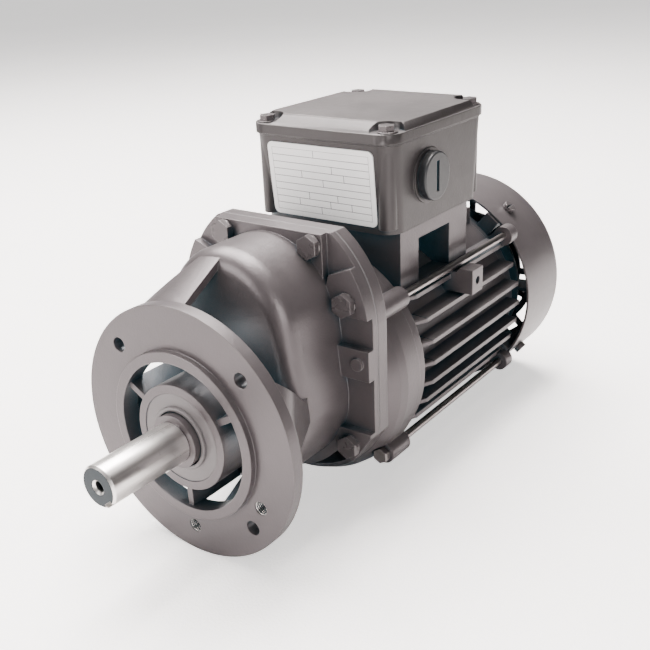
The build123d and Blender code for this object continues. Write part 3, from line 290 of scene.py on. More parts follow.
# %% [markdown]
# ## How a material starts and ends
# Paint, steel and plastic differ in the middle of their graphs, not at the ends. Each starts with a shader
# and the Object coordinates, which stay on the piece when it turns. Each ends with a fine relief in the
# normal, on edges that are rounded for the eye. Both ends are written once here.


# %% Helpers that start and end a material
def start_material(name, roughness, metallic=0.0, **plain):
    """A material with its shader, its Object coordinates and a helper that places a node group."""
    material = bpy.data.materials.new(name)
    material.use_nodes = True
    tree = material.node_tree
    shader = tree.nodes["Principled BSDF"]
    shader.inputs["Roughness"].default_value = roughness
    shader.inputs["Metallic"].default_value = metallic
    for label, value in plain.items():
        shader.inputs[label.replace("_", " ")].default_value = value
    place = tree.nodes.new("ShaderNodeTexCoord").outputs["Object"]

    def effect(group, **sockets):
        """Place a group in this material, with its own values."""
        node = tree.nodes.new("ShaderNodeGroup")
        node.node_tree = group
        for label, value in sockets.items():
            feed(tree, node.inputs[label], value)
        if "Place" in node.inputs:
            tree.links.new(place, node.inputs["Place"])
        return node.outputs

    return material, tree, shader, place, effect


def press_relief(tree, shader, height, skin, strength, corner, samples=6):
    """Press a fine height into the surface, and round its sharp edges for the eye."""
    rounded = add(tree, "ShaderNodeBevel", {"samples": samples}, Radius=corner)
    bump = add(tree, "ShaderNodeBump", Distance=skin, Strength=strength, Height=height,
               Normal=rounded.outputs["Normal"])
    feed(tree, shader.inputs["Normal"], bump.outputs["Normal"])


# %% [markdown]
# ## Grey machine enamel
# The castings, the cowl and the terminal box are sprayed with one silver-grey enamel that carries fine
# metal flakes. It could be a flat colour, but the real coat gathers on edges, thins on rims and shows the
# sand of the mould through its gloss. So the colour moves slowly between two greys, worn edges show
# brighter, dust lies on what looks up, closed-in places get painted shade, and a fine bump breaks the
# highlights.

# %% The enamel
FLAKE_METAL = 0.50
THICK_COAT = 1.10
THIN_COAT = 0.88
RUBBED_GREY = colour(0.42, 0.40, 0.39)
DUST_GREY = colour(0.19, 0.174, 0.172)
GLOSS_SPREAD = 0.12
DUST_DULLS = 0.3
SAND_GRAIN = 900.0
PEEL_SHARE = 1.5


def enamel(name, tint, roughness=0.34, skin=0.12 * MM, dust=0.25, wear=2.0):
    material, tree, shader, place, effect = start_material(name, roughness, FLAKE_METAL)
    tone = effect(TONE)
    coat = blend_colour(tree, tone["Slow"], toned(tint, THIN_COAT), toned(tint, THICK_COAT))
    coat = blend_colour(tree, effect(WEAR, Strength=wear)["Mask"], coat, RUBBED_GREY)
    settled = effect(DUST, Amount=dust)["Mask"]
    coat = blend_colour(tree, settled, coat, DUST_GREY)
    # Painted shade: closed-in places turn near-black blue green
    coat = blend_colour(tree, effect(CREVICE_SHADE)["Mask"], coat, PAINTED_SHADE)
    feed(tree, shader.inputs["Base Color"], coat)
    gloss = calc(tree, "MULTIPLY_ADD", tone["Quick"], GLOSS_SPREAD, roughness - GLOSS_SPREAD / 2)
    gloss = calc(tree, "MULTIPLY_ADD", settled, DUST_DULLS, gloss, clamp=True)
    feed(tree, shader.inputs["Roughness"], gloss)
    grain = add(tree, "ShaderNodeTexNoise", Vector=place, Scale=SAND_GRAIN, Detail=3.0)
    height = calc(tree, "ADD", grain.outputs["Fac"], calc(tree, "MULTIPLY", tone["Quick"], PEEL_SHARE))
    press_relief(tree, shader, height, skin, strength=0.6, corner=0.7 * MM)
    return material


CAST_GREY = (0.082, 0.072, 0.076)
SHEET_GREY = (0.090, 0.080, 0.084)
# A darker copy of the grey enamel for the terminal box, its lid and the sealant bead: painted shade for the
# box's shaded side
BOX_SHADED_GREY = (0.040, 0.036, 0.037)
BOLT_GREY = (0.078, 0.069, 0.072)
cast_enamel = enamel("cast_enamel", CAST_GREY)
cowl_enamel = enamel("cowl_enamel", SHEET_GREY, skin=0.04 * MM)
shaded_box_enamel = enamel("shaded_box_enamel", BOX_SHADED_GREY, roughness=0.42, skin=0.09 * MM)
bolt_enamel = enamel("bolt_enamel", BOLT_GREY, roughness=0.28, skin=0.03 * MM, wear=5.0)
print("enamels:", [m.name for m in (cast_enamel, cowl_enamel, shaded_box_enamel, bolt_enamel)])

# %% [markdown]
# ## Bright steel
# The output shaft is drawn bar, so its fine marks run along it: a noise that is squeezed across the shaft
# and stretched along it gives such marks. Its sawn end is painted near-black, a painted dark reflection,
# and its collar was sprayed with the hub, so two masks on the station along the shaft paint those. The tie
# bolts are drawn too, and a thin coat of paint dulls them. The same recipe with other tints makes every
# other bare metal in the machine.

# %% The steels
BRUSHED = 0.2
DULL_SHARE = 0.72
STAIN_START = 0.63
STAIN_BROWN = colour(0.25, 0.21, 0.18)
# Painted dark reflection on the shaft's end face
DARK_END_REFLECTION = colour(0.020, 0.026, 0.030)
MARK_SPREAD = 0.16
BARE_METAL = 1.0
SMALL_GAP = 12 * MM


def steel(name, tint, roughness, marks_scale, stains=0.15, dark_end_to=None, painted_from=None):
    """Bare metal whose fine marks have one direction: squeezed noise on Object coordinates."""
    material, tree, shader, place, effect = start_material(name, roughness, BARE_METAL,
                                                           Anisotropic=BRUSHED)
    squeezed = add(tree, "ShaderNodeMapping", Vector=place, Scale=marks_scale).outputs[0]
    marks = add(tree, "ShaderNodeTexNoise", Vector=squeezed, Scale=1.0, Detail=6.0,
                Roughness=0.65).outputs["Fac"]
    tone = effect(TONE, Broad=30.0)
    ground = blend_colour(tree, marks, toned(tint, DULL_SHARE), colour(*tint))
    spots = calc(tree, "MULTIPLY", calc(tree, "GREATER_THAN", tone["Quick"], STAIN_START), stains)
    ground = blend_colour(tree, spots, ground, STAIN_BROWN)
    station = tree.nodes.new("ShaderNodeSeparateXYZ")
    feed(tree, station.inputs[0], place)
    # Painted dark reflection: the shaft's end face is painted near-black blue grey
    if dark_end_to is not None:
        at_end = calc(tree, "LESS_THAN", station.outputs["Y"], dark_end_to)
        ground = blend_colour(tree, at_end, ground, DARK_END_REFLECTION)
    if painted_from is not None:
        coated = calc(tree, "GREATER_THAN", station.outputs["Y"], painted_from)
        ground = blend_colour(tree, coated, ground, colour(*CAST_GREY))
        metal = calc(tree, "MULTIPLY_ADD", coated, FLAKE_METAL - BARE_METAL, BARE_METAL)
        feed(tree, shader.inputs["Metallic"], metal)
    # Painted shade in small gaps: closed-in places turn near-black blue green
    ground = blend_colour(tree, effect(CREVICE_SHADE, Reach=SMALL_GAP)["Mask"], ground, PAINTED_SHADE)
    feed(tree, shader.inputs["Base Color"], ground)
    gloss = calc(tree, "MULTIPLY_ADD", marks, MARK_SPREAD, roughness - MARK_SPREAD / 2, clamp=True)
    feed(tree, shader.inputs["Roughness"], gloss)
    press_relief(tree, shader, marks, skin=0.02 * MM, strength=0.5, corner=0.5 * MM)
    return material


SHAFT_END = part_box("output_shaft")[0][1]
DARK_END_DEPTH = 0.1 * MM
COLLAR_FACE = -7.5 * MM
ALONG_SHAFT = (1400, 10, 1400)
ALONG_ROD = (900, 25, 900)
ACROSS_SHEETS = (60, 2400, 60)
ALONG_WIRE = (500, 900, 500)


def even(scale):
    """Marks with no direction."""
    return (scale, scale, scale)


shaft_steel = steel("shaft_steel", (0.92, 0.89, 0.87), 0.30, ALONG_SHAFT, dark_end_to=SHAFT_END + DARK_END_DEPTH,
                    painted_from=COLLAR_FACE)
gear_steel = steel("gear_steel", (0.55, 0.54, 0.53), 0.30, even(300))
rod_steel = steel("rod_steel", (0.36, 0.33, 0.325), 0.30, ALONG_ROD, stains=0.3)
race_steel = steel("race_steel", (0.75, 0.74, 0.73), 0.18, even(400), stains=0.0)
spring_steel = steel("spring_steel", (0.22, 0.21, 0.21), 0.38, even(300), stains=0.0)
sheet_steel = steel("sheet_steel", (0.42, 0.41, 0.41), 0.45, ACROSS_SHEETS)
bright_thread = steel("bright_thread", (0.72, 0.70, 0.68), 0.25, even(300), stains=0.0)
zinc = steel("zinc", (0.68, 0.69, 0.70), 0.33, even(250))
cast_aluminium = steel("cast_aluminium", (0.70, 0.70, 0.71), 0.45, even(150))
copper_wire = steel("copper_wire", (0.62, 0.26, 0.12), 0.35, ALONG_WIRE)
brass = steel("brass", (0.72, 0.52, 0.24), 0.28, even(200))
print("the shaft is sawn at", round(SHAFT_END, 4), "and painted from", COLLAR_FACE)

# %% [markdown]
# ## Rubber, plastic and film
# The soft and moulded parts share one recipe with other values: a dark or grey base, a fine speckle, and
# a rough surface. The seal in the hub was sprayed over with the castings, so it is grey up to its lip.
# Separate recipes would differ only in their numbers, so one function takes those numbers.

# %% Moulded materials
SHADED_SHARE = 0.85
LINT_GREY = colour(0.40, 0.37, 0.35)
SPECKLE_SPREAD = 0.2


def moulding(name, tint, roughness, skin=0.05 * MM, dust=0.2, grain=500.0):
    material, tree, shader, _, effect = start_material(name, roughness)
    tone = effect(TONE, Fine=grain)
    base = blend_colour(tree, tone["Slow"], toned(tint, SHADED_SHARE), colour(*tint))
    base = blend_colour(tree, effect(DUST, Amount=dust)["Mask"], base, LINT_GREY)
    # Painted shade: closed-in places turn near-black blue green
    base = blend_colour(tree, effect(CREVICE_SHADE)["Mask"], base, PAINTED_SHADE)
    feed(tree, shader.inputs["Base Color"], base)
    gloss = calc(tree, "MULTIPLY_ADD", tone["Quick"], SPECKLE_SPREAD, roughness - SPECKLE_SPREAD / 2)
    feed(tree, shader.inputs["Roughness"], gloss)
    press_relief(tree, shader, tone["Quick"], skin, strength=0.6, corner=0.6 * MM, samples=4)
    return material


black_rubber = moulding("black_rubber", (0.018, 0.022, 0.026), 0.55)
grey_gasket = moulding("grey_gasket", (0.09, 0.09, 0.095), 0.75)
black_plastic = moulding("black_plastic", (0.02, 0.02, 0.022), 0.45)
plug_grey = moulding("plug_grey", (0.010, 0.012, 0.015), 0.38, skin=0.03 * MM, dust=0.1)
seal_grey = moulding("seal_grey", (0.105, 0.095, 0.098), 0.40, skin=0.04 * MM, dust=0.1)
film_white = moulding("film_white", (0.80, 0.80, 0.80), 0.32, skin=0.01 * MM, dust=0.05, grain=120.0)
ink_black = moulding("ink_black", (0.012, 0.012, 0.013), 0.5, dust=0.0)
print("materials so far:", len(bpy.data.materials))

# %% [markdown]
# ## Dress the CAD nodes
# Every node keeps its shape and gets the finish of the real piece. Each could be dressed where it is first
# spoken of, but one table that pairs the materials with the nodes shows at a glance what is what. A node
# that the table misses stops the script by its name, so that nothing is left bare.

# %% Which piece has which finish
BEARING_PIECES = [name for name in NODES if "_bearing_" in name and name.endswith(("ring", "balls"))]
SPRING_PIECES = ["output_gear_circlip", "bearing_retaining_ring", "fan_retaining_ring",
                 "bearing_preload_washer", "output_gear_key"]
FINISHES = [
    (cast_enamel, ["gear_case", "front_end_shield", "stator_frame", "rear_end_shield"]),
    (cowl_enamel, ["fan_cowl"]),
    (shaded_box_enamel, ["terminal_box", "terminal_box_lid"]),
    (bolt_enamel, ["gear_case_bolts", "terminal_lid_screws", "fan_cowl_screws"]),
    (rod_steel, ["tie_bolts"]),
    (shaft_steel, ["output_shaft"]),
    (gear_steel, ["output_gear", "first_stage_wheel", "motor_pinion", "layshaft_with_pinion",
                  "motor_shaft"]),
    (spring_steel, SPRING_PIECES),
    (race_steel, BEARING_PIECES),
    (black_rubber, ["motor_shaft_seal", "blanking_plug_ring"]),
    (plug_grey, ["blanking_plug"]),
    (seal_grey, ["output_shaft_seal"]),
    (grey_gasket, ["gear_case_gasket", "terminal_box_gasket", "terminal_lid_gasket"]),
    (sheet_steel, ["stator_core", "rotor_core"]),
    (cast_aluminium, ["rotor_cage"]),
    (copper_wire, ["stator_windings"]),
    (black_plastic, ["fan", "terminal_block"]),
    (brass, ["terminal_studs", "terminal_links", "terminal_nuts"]),
    (zinc, ["terminal_box_screws"]),
    (film_white, ["rating_plate"]),
]


def dress(piece, material):
    """Give a piece one material."""
    piece.data.materials.clear()
    piece.data.materials.append(material)


finish_of = {name: material for material, names in FINISHES for name in names}
for name, node in NODES.items():
    dress(node, finish_of[name])
print("dressed", len(NODES), "nodes")

# %% [markdown]
# ## Modelling by hand
# The small pieces that a drawing leaves out are modelled here as at the screen: a primitive is added at
# its place, shaped in edit mode, and finished with modifiers. Short helpers hold what every piece needs:
# choose selects pieces, begin adds a primitive with nothing else selected, pick selects corners by a test,
# soften rounds edges, join_copies repeats a piece, and settle moves the origin to zero, gives the finish
# and lets the piece ride on its body.


# %% Helpers for modelling
def choose(pieces):
    """Select these pieces alone, and make the first one active."""
    bpy.ops.object.select_all(action="DESELECT")
    for piece in pieces:
        piece.select_set(True)
    bpy.context.view_layer.objects.active = pieces[0]


def begin(name, primitive, **settings):
    """Add a primitive by itself and name it."""
    bpy.ops.object.select_all(action="DESELECT")
    primitive(**settings)
    piece = bpy.context.object
    piece.name = name
    return piece


def pick(piece, wanted):
    """In edit mode, select the corners that a test on them lets through."""
    mesh = bmesh.from_edit_mesh(piece.data)
    for element in (*mesh.faces, *mesh.edges, *mesh.verts):
        element.select = False
    for corner in mesh.verts:
        if wanted(corner):
            corner.select = True
    mesh.select_flush_mode()
    bmesh.update_edit_mesh(piece.data)


def soften(piece, width, segments=2, angle=30.0):
    """Round the sharp edges with a bevel, and shade what is left smooth."""
    rounding = piece.modifiers.new("rounding", "BEVEL")
    rounding.width = width
    rounding.segments = segments
    rounding.limit_method = "ANGLE"
    rounding.angle_limit = radians(angle)
    bpy.ops.object.modifier_apply(modifier=rounding.name)
    bpy.ops.object.shade_smooth_by_angle(angle=radians(angle))


def join_copies(piece, offsets):
    """Copy a piece to more places, each copy with its own mesh, and join them all."""
    made = [piece]
    for offset in offsets:
        choose([piece])
        bpy.ops.object.duplicate(linked=False)
        copy = bpy.context.object
        copy.location = Vector(piece.location) + Vector(offset)
        made.append(copy)
    choose(made)
    bpy.ops.object.join()


def settle(piece, material, body="housing"):
    """Put the origin at zero with the place in the mesh, give the finish, and ride on a body."""
    choose([piece])
    bpy.ops.object.transform_apply(location=True, rotation=True, scale=True)
    bpy.ops.object.mode_set(mode="EDIT")
    bpy.ops.mesh.select_all(action="SELECT")
    bpy.ops.mesh.normals_make_consistent(inside=False)
    bpy.ops.object.mode_set(mode="OBJECT")
    dress(piece, material)
    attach(piece, body)
    print(piece.name, len(piece.data.polygons), "faces")


# %% [markdown]
# ## Lid of the terminal box
# The lid is a shallow aluminium casting: an upright rim, a narrow ledge, and a panel whose front slopes far
# more than its sides. It could be lofted, but an inset that also lifts its face draws the same slope in one
# step. Round pockets make room for the screws, and a Boolean cuts them.

# %% Sizes of the lid
LID_LOW, LID_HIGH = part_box("terminal_box_lid")
LID_MIDDLE = (LID_LOW + LID_HIGH) / 2
LID_OVERHANG = 1.3 * MM
LID_CORNER = 10.3 * MM
LID_CORNER_STEPS = 6
LID_RIM = 4.7 * MM
LID_LEDGE = 0.9 * MM
LID_SLOPE = 2.1 * MM
LID_RISE = 3.7 * MM
LID_FRONT_SLOPE = 8.4 * MM
LID_EDGE = 0.45 * MM
SCREWS_LOW, SCREWS_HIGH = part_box("terminal_lid_screws")
SCREW_HEAD_HALF = 3.5 * MM
SCREW_INSET = 6 * MM
SCREW_POCKET = 8.4 * MM
POCKET_DEPTH = 20 * MM
LID_SCREWS = [(x, y) for x in (SCREWS_LOW.x + SCREW_HEAD_HALF, SCREWS_HIGH.x - SCREW_HEAD_HALF)
              for y in (LID_LOW.y + SCREW_INSET, LID_HIGH.y - SCREW_INSET)]
print("lid screws at", [(round(x, 4), round(y, 4)) for x, y in LID_SCREWS])


# %% The lid
def rounded_plate(name, width, length, height):
    """A level plane with the lid's round corners, left in edit mode with all of it selected."""
    piece = begin(name, bpy.ops.mesh.primitive_plane_add, size=1.0,
                  location=(0, LID_MIDDLE.y, height))
    piece.scale = (width, length, 1)
    bpy.ops.object.transform_apply(location=False, rotation=False, scale=True)
    bpy.ops.object.mode_set(mode="EDIT")
    bpy.ops.mesh.select_all(action="SELECT")
    bpy.ops.mesh.bevel(affect="VERTICES", offset=LID_CORNER, segments=LID_CORNER_STEPS)
    bpy.ops.mesh.select_all(action="SELECT")
    return piece


def cut_pocket(lid, x, y):
    """Cut the round pocket of one screw down to the rim."""
    cutter = begin("pocket", bpy.ops.mesh.primitive_cylinder_add, vertices=40, radius=SCREW_POCKET,
                   depth=POCKET_DEPTH, location=(x, y, LID_LOW.z + LID_RIM + POCKET_DEPTH / 2))
    cut = lid.modifiers.new("pocket", "BOOLEAN")
    cut.operation = "DIFFERENCE"
    cut.object = cutter
    choose([lid])
    bpy.ops.object.modifier_apply(modifier=cut.name)
    bpy.data.objects.remove(cutter, do_unlink=True)


def make_lid():
    width = LID_HIGH.x - LID_LOW.x + 2 * LID_OVERHANG
    length = LID_HIGH.y - LID_LOW.y + 2 * LID_OVERHANG
    lid = rounded_plate("terminal_box_lid_cast", width, length, LID_LOW.z)
    bpy.ops.mesh.extrude_region_move(TRANSFORM_OT_translate={"value": (0, 0, LID_RIM)})
    bpy.ops.mesh.inset(thickness=LID_LEDGE)
    bpy.ops.mesh.inset(thickness=LID_SLOPE, depth=LID_RISE)
    pick(lid, lambda corner: corner.co.z > LID_RIM + LID_RISE / 2 and corner.co.y < 0)
    bpy.ops.transform.translate(value=(0, LID_FRONT_SLOPE, 0))
    bpy.ops.object.mode_set(mode="OBJECT")
    for x, y in LID_SCREWS:
        cut_pocket(lid, x, y)
    soften(lid, LID_EDGE, 3)
    settle(lid, shaded_box_enamel)
    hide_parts("terminal_box_lid")


make_lid()

# %% [markdown]
# ## Seam and washers
# Sealant squeezed out under the lid shows as a thin rough line. It is a round bead along the lid's edge,
# pushed about by a clouds texture, because a bump alone would leave the line straight against the light.
# Each lid screw also has a washer face, a low disc with a soft rim, made once and copied.

# %% Sealant and washer faces
BEAD = 0.55 * MM
BEAD_DROP = 0.35 * MM
BEAD_CUTS = 40
BEAD_CLOUDS = 2.5 * MM
BEAD_ROUGH = 0.7 * MM
WASHER_RADIUS = 4.9 * MM
WASHER_THICK = 0.7 * MM
WASHER_EDGE = 0.2 * MM


def make_bead():
    bead = rounded_plate("lid_sealant_bead", LID_HIGH.x - LID_LOW.x + BEAD, LID_HIGH.y - LID_LOW.y + BEAD,
                         LID_LOW.z - BEAD_DROP)
    bpy.ops.mesh.subdivide(number_cuts=BEAD_CUTS)
    bpy.ops.mesh.select_all(action="DESELECT")
    bpy.ops.mesh.select_mode(type="EDGE")
    bpy.ops.mesh.select_non_manifold()
    bpy.ops.mesh.select_all(action="INVERT")
    bpy.ops.mesh.delete(type="EDGE")
    bpy.ops.object.mode_set(mode="OBJECT")
    bpy.ops.object.convert(target="CURVE")
    bead.data.bevel_depth = BEAD
    bead.data.bevel_resolution = 2
    bpy.ops.object.convert(target="MESH")
    clouds = bpy.data.textures.new("sealant_clouds", "CLOUDS")
    clouds.noise_scale = BEAD_CLOUDS
    rough = bead.modifiers.new("rough", "DISPLACE")
    rough.texture = clouds
    rough.strength = BEAD_ROUGH
    bpy.ops.object.modifier_apply(modifier=rough.name)
    bpy.ops.object.shade_smooth()
    settle(bead, shaded_box_enamel)


def make_washers():
    (first_x, first_y), *others = LID_SCREWS
    washers = begin("lid_screw_washers", bpy.ops.mesh.primitive_cylinder_add, vertices=32,
                    radius=WASHER_RADIUS, depth=WASHER_THICK,
                    location=(first_x, first_y, LID_LOW.z + LID_RIM + WASHER_THICK / 2))
    soften(washers, WASHER_EDGE)
    join_copies(washers, [(x - first_x, y - first_y, 0) for x, y in others])
    settle(washers, bolt_enamel)


make_bead()
make_washers()

# %% [markdown]
# ## Fin noses
# Each cooling fin starts just behind the bell with a sloping nose. A nose is a box whose front corners are
# pulled towards the shaft, and which thins outwards as a cast fin does. It is modelled once for each row,
# since the rows stand at different heights, and turned to each side of the frame.

# %% The noses
FIN_PITCH = 11 * MM
FIN_REACH = 56 * MM
FIN_FOOT = 46.8 * MM
FIN_THICK = 2.9 * MM
FIN_TIP_SHARE = 0.82
FIN_EDGE = 0.4 * MM
FIN_OUTER_FROM = 2 * MM
FIN_CAD_START = 120.5 * MM
FIN_NOSE_START = 109.3 * MM
FIN_NOSE_DROP = 5.0 * MM
SIDE_ROWS = [row * FIN_PITCH for row in (-3, -2, -1, 0, 1, 2, 3)]
UNDER_ROWS = SIDE_ROWS[1:-1]


def make_nose(offset, turn):
    """One sloping fin end at a height above the shaft, turned about the shaft."""
    foot = (FIN_FOOT**2 - offset**2) ** 0.5
    reach = (FIN_REACH**2 - offset**2) ** 0.5
    half_way = (foot + reach) / 2
    long = FIN_CAD_START - FIN_NOSE_START
    piece = begin("nose", bpy.ops.mesh.primitive_cube_add, size=1.0,
                  location=(half_way, FIN_NOSE_START + long / 2, offset))
    piece.scale = (reach - foot, long, FIN_THICK)
    bpy.ops.object.transform_apply(location=True, rotation=False, scale=True)
    bpy.ops.object.mode_set(mode="EDIT")
    pick(piece, lambda corner: corner.co.y < FIN_NOSE_START + long / 2 and corner.co.x > half_way)
    bpy.ops.transform.translate(value=(-FIN_NOSE_DROP, 0, 0))
    pick(piece, lambda corner: corner.co.x > foot + FIN_OUTER_FROM)
    bpy.ops.transform.resize(value=(1, 1, FIN_TIP_SHARE), center_override=(reach, FIN_CAD_START, offset))
    bpy.ops.mesh.select_all(action="SELECT")
    bpy.ops.transform.rotate(value=-turn, orient_axis="Y", center_override=(0, 0, 0))
    bpy.ops.object.mode_set(mode="OBJECT")
    soften(piece, FIN_EDGE)
    return piece


def make_noses():
    sides = [make_nose(row, side) for row in SIDE_ROWS for side in (0, pi)]
    under = [make_nose(row, pi / 2) for row in UNDER_ROWS]
    noses = sides[0]
    choose(sides + under)
    bpy.ops.object.join()
    noses.name = "fin_noses"
    settle(noses, cast_enamel)


make_noses()

# %% [markdown]
# ## Ruled lines on the rating plate
# The plate is white film with ruled boxes, left blank here. Its cells are planes set out in rows. Each is
# inset on its own and its middle is deleted, so that only thin lines are left, and they get a hair of
# thickness to stand on the film. A pattern in the material would blur at this fineness.

# %% The ruling
# where each row is cut, as shares of its width
PLATE_ROWS = [(0.44,), (), (0.62,), (0.30, 0.74), (0.52,), (), (0.36, 0.66), (0.25, 0.58, 0.80), (0.48,)]
PLATE_MARGIN = 2.6 * MM
RULE = 0.11 * MM
INK_LIFT = 0.03 * MM
INK_THICK = 0.05 * MM
WELD = 0.01 * MM
ACROSS = Vector((1, 0, 0))
FACING_FRONT = -0.9


def plate_face():
    """The middle, half size and outward direction of the film's face."""
    mesh = NODES["rating_plate"].data
    faces = [face for face in mesh.polygons if face.normal.y < FACING_FRONT]
    corners = [mesh.vertices[index].co for face in faces for index in face.vertices]
    low = Vector(tuple(min(corner[axis] for corner in corners) for axis in range(3)))
    high = Vector(tuple(max(corner[axis] for corner in corners) for axis in range(3)))
    return (low + high) / 2, (high - low) / 2, faces[0].normal.copy()


def add_cell(left, right, level, width, height):
    """One cell of a row, from one share of the width to another, still in edit mode."""
    centre = ((left + right - 1) / 2 * width, level, 0)
    bpy.ops.mesh.primitive_plane_add(size=1.0, location=centre)
    bpy.ops.transform.resize(value=((right - left) * width, height, 1), center_override=centre)


def make_ruling():
    middle, half, out = plate_face()
    up = ACROSS.cross(out).normalized()
    up = up if up.z > 0 else -up
    plate_axes = Matrix((ACROSS, up, out)).transposed().to_4x4()
    width = 2 * (half.x - PLATE_MARGIN)
    height = 2 * (half.z / abs(up.z) - PLATE_MARGIN)
    row_height = height / len(PLATE_ROWS)
    ruling = begin("rating_plate_ruling", bpy.ops.mesh.primitive_plane_add, size=1.0)
    bpy.ops.object.mode_set(mode="EDIT")
    bpy.ops.mesh.delete(type="VERT")
    for row, cuts in enumerate(PLATE_ROWS):
        edges = (0.0, *cuts, 1.0)
        for left, right in zip(edges, edges[1:]):
            add_cell(left, right, height / 2 - (row + 0.5) * row_height, width, row_height)
    bpy.ops.mesh.select_all(action="SELECT")
    bpy.ops.mesh.inset(thickness=RULE, use_individual=True)
    bpy.ops.mesh.delete(type="FACE")
    bpy.ops.mesh.select_all(action="SELECT")
    bpy.ops.mesh.remove_doubles(threshold=WELD)
    bpy.ops.object.mode_set(mode="OBJECT")
    ruling.matrix_world = Matrix.Translation(middle + INK_LIFT * out) @ plate_axes
    film = ruling.modifiers.new("film", "SOLIDIFY")
    film.thickness = INK_THICK
    bpy.ops.object.modifier_apply(modifier=film.name)
    settle(ruling, ink_black)


make_ruling()

# %% [markdown]
# ## Dust lip and jacking threads
# The seal in the hub carries a raised dust lip round the shaft: a small square profile is spun about the
# shaft's axis. The two jacking holes show bright threads. A true helix would cost many faces that nobody
# sees, so they are rings of a fine torus, one behind the other.

# %% Lip and threads
SEAL_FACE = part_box("output_shaft_seal")[0].y
LIP_RADIUS = 13.9 * MM
LIP_HALF = 0.95 * MM
LIP_STEPS = 72
LIP_EDGE = 0.35 * MM
THREAD_RADIUS = 3.2 * MM
THREAD_DEPTH = 0.28 * MM
THREAD_START = 0.9 * MM
THREAD_PITCH = 1.0 * MM
THREAD_TURNS = 5
JACK_HOLES = [(40.70 * MM, -23.5 * MM), (0.0, -47.0 * MM)]


def make_lip():
    lip = begin("seal_dust_lip", bpy.ops.mesh.primitive_plane_add, size=2 * LIP_HALF,
                location=(LIP_RADIUS, SEAL_FACE - LIP_HALF / 2, 0))
    bpy.ops.object.transform_apply(location=True, rotation=False, scale=False)
    bpy.ops.object.mode_set(mode="EDIT")
    bpy.ops.mesh.select_all(action="SELECT")
    bpy.ops.mesh.spin(steps=LIP_STEPS, angle=2 * pi, center=(0, 0, 0), axis=(0, 1, 0))
    bpy.ops.mesh.select_all(action="SELECT")
    bpy.ops.mesh.remove_doubles(threshold=WELD)
    bpy.ops.mesh.select_all(action="DESELECT")
    bpy.ops.mesh.select_interior_faces()
    bpy.ops.mesh.delete(type="FACE")
    bpy.ops.object.mode_set(mode="OBJECT")
    soften(lip, LIP_EDGE, angle=40)
    settle(lip, seal_grey)


def make_threads():
    first_x, first_z = JACK_HOLES[0]
    threads = begin("jacking_threads", bpy.ops.mesh.primitive_torus_add, major_radius=THREAD_RADIUS,
                    minor_radius=THREAD_DEPTH, major_segments=36, minor_segments=8,
                    rotation=(pi / 2, 0, 0), location=(first_x, THREAD_START, first_z))
    bpy.ops.object.transform_apply(location=False, rotation=True, scale=False)
    offsets = [(x - first_x, turn * THREAD_PITCH, z - first_z)
               for x, z in JACK_HOLES for turn in range(THREAD_TURNS)]
    join_copies(threads, offsets[1:])
    bpy.ops.object.shade_smooth()
    settle(threads, bright_thread)


make_lip()
make_threads()

# %% [markdown]
# ## Floor
# The machine stands on a near-white floor with a fine glitter. Lit only by the lamps, the floor would go
# grey at its far side, so it glows a little for rays from the camera alone, which lifts it for the eye and
# throws no light on the machine.

# %% The floor
FLOOR_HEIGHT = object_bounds()[0][2]
FLOOR_RADIUS = 7.0
FLOOR_GLOW = 1.1
FLOOR_ROUGHNESS = 0.6
FLOOR_GRAIN = 0.9 * MM
SPECK_SHARE = 0.5
CLOUD_SHARE = 0.5
FLOOR_SHADED = colour(0.86, 0.83, 0.82)
FLOOR_WHITE = colour(0.98, 0.965, 0.955)
BLACK = colour(0, 0, 0)


def floor_material():
    material, tree, shader, _, effect = start_material("pale_floor", FLOOR_ROUGHNESS)
    tone = effect(TONE, Broad=5.0, Fine=700.0)
    clouds = calc(tree, "MULTIPLY", tone["Slow"], CLOUD_SHARE)
    specks = calc(tree, "MULTIPLY_ADD", tone["Quick"], SPECK_SHARE, clouds)
    shade = blend_colour(tree, specks, FLOOR_SHADED, FLOOR_WHITE)
    feed(tree, shader.inputs["Base Color"], shade)
    seen = tree.nodes.new("ShaderNodeLightPath").outputs["Is Camera Ray"]
    feed(tree, shader.inputs["Emission Color"], blend_colour(tree, seen, BLACK, shade))
    shader.inputs["Emission Strength"].default_value = FLOOR_GLOW
    bump = add(tree, "ShaderNodeBump", Distance=FLOOR_GRAIN, Strength=0.6, Height=tone["Quick"])
    feed(tree, shader.inputs["Normal"], bump.outputs["Normal"])
    return material


floor = begin("floor", bpy.ops.mesh.primitive_circle_add, vertices=96, radius=FLOOR_RADIUS,
              fill_type="NGON", location=(0, 0, FLOOR_HEIGHT))
dress(floor, floor_material())
print("floor at", round(FLOOR_HEIGHT, 4))

# %% [markdown]
# ## Lamps
# One wide soft light hangs above the machine. Three long tubes over it lie along the shaft and draw the
# straight bright lines that bare steel and enamel show, which a square light can't. A weak light from the
# front left opens the flange, and a low one from the right opens the bell and the fins.

# %% The lamps
CENTRE = (0, 0.11, 0.0)
WARM = (1.0, 0.955, 0.93)
TUBE_WIDTH = 0.04
TUBE_LENGTH = 1.3
TUBE_HEIGHT = 1.05
TUBE_STATION = 0.1
TUBES = [(-0.75, 9), (-0.1, 11), (0.45, 2)]  # the place across the shaft, the watts


def soft_light(name, place, size, watts, length=None):
    """A warm area light that looks at the machine: a square, or a tube where it has a length."""
    data = bpy.data.lights.new(name, "AREA")
    data.shape = "RECTANGLE"
    data.size = length or size
    data.size_y = size
    data.energy = watts
    data.color = WARM
    light = bpy.data.objects.new(name, data)
    light.location = place
    light.rotation_euler = (Vector(CENTRE) - Vector(place)).to_track_quat("-Z", "Y").to_euler()
    bpy.context.scene.collection.objects.link(light)


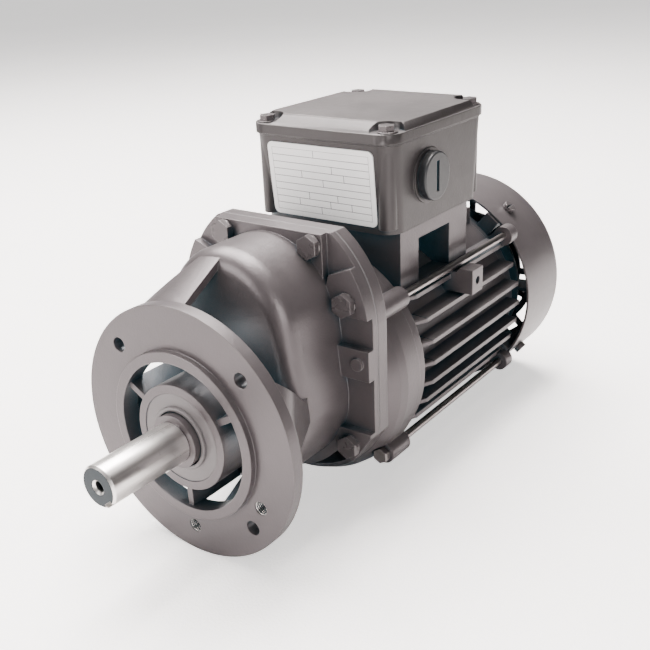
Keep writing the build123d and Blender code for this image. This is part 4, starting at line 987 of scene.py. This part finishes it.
soft_light("overhead", (-0.45, 0.35, 1.30), size=1.2, watts=105)
for number, (side, watts) in enumerate(TUBES, start=1):
    place = (side, TUBE_STATION, TUBE_HEIGHT)
    soft_light(f"tube_{number}", place, TUBE_WIDTH, watts, length=TUBE_LENGTH)
soft_light("front_left", (-0.8, -1.4, 0.50), size=0.9, watts=25)
soft_light("low_right", (1.1, -0.7, 0.34), size=0.6, watts=12)
print("lamps:", len(bpy.data.lights))

# %% [markdown]
# ## Room
# Metal and gloss are only as good as what they mirror. The room is dim, and darker still on the right, so
# that the box's side and the gaps stay dark. The camera itself sees a pale backdrop instead, as it would
# behind a product on a white sweep.

# %% The room
DIM_ROOM = 0.32
PALE_ROOM = 1.7
LOW_WALL = colour(0.80, 0.80, 0.80)
HIGH_WALL = colour(0.70, 0.69, 0.68)
HIGH_WALL_START = 0.6
DARK_SIDE = colour(0.02, 0.03, 0.04)
BACKDROP = colour(0.97, 0.96, 0.95)
RIGHT_FALL = -0.55
MIDDLE_SHARE = 0.45


def make_room():
    world = bpy.data.worlds.new("studio")
    bpy.context.scene.world = world
    world.use_nodes = True
    sky = world.node_tree
    dim = sky.nodes["Background"]
    way = sky.nodes.new("ShaderNodeSeparateXYZ")
    feed(sky, way.inputs[0], sky.nodes.new("ShaderNodeTexCoord").outputs["Generated"])
    ramp = sky.nodes.new("ShaderNodeValToRGB")
    low, high = ramp.color_ramp.elements
    low.position = 0.0
    low.color = LOW_WALL
    high.position = HIGH_WALL_START
    high.color = HIGH_WALL
    feed(sky, ramp.inputs[0], way.outputs["Z"])
    left_share = calc(sky, "MULTIPLY_ADD", way.outputs["X"], RIGHT_FALL, MIDDLE_SHARE, clamp=True)
    feed(sky, dim.inputs["Color"], blend_colour(sky, left_share, DARK_SIDE, ramp.outputs["Color"]))
    dim.inputs["Strength"].default_value = DIM_ROOM
    backdrop = add(sky, "ShaderNodeBackground", Color=BACKDROP, Strength=PALE_ROOM)
    seen = sky.nodes.new("ShaderNodeLightPath").outputs["Is Camera Ray"]
    either = sky.nodes.new("ShaderNodeMixShader")
    for socket, source in zip(either.inputs, (seen, dim.outputs[0], backdrop.outputs[0])):
        feed(sky, socket, source)
    feed(sky, sky.nodes["World Output"].inputs["Surface"], either.outputs[0])


make_room()
print("world:", bpy.context.scene.world.name)
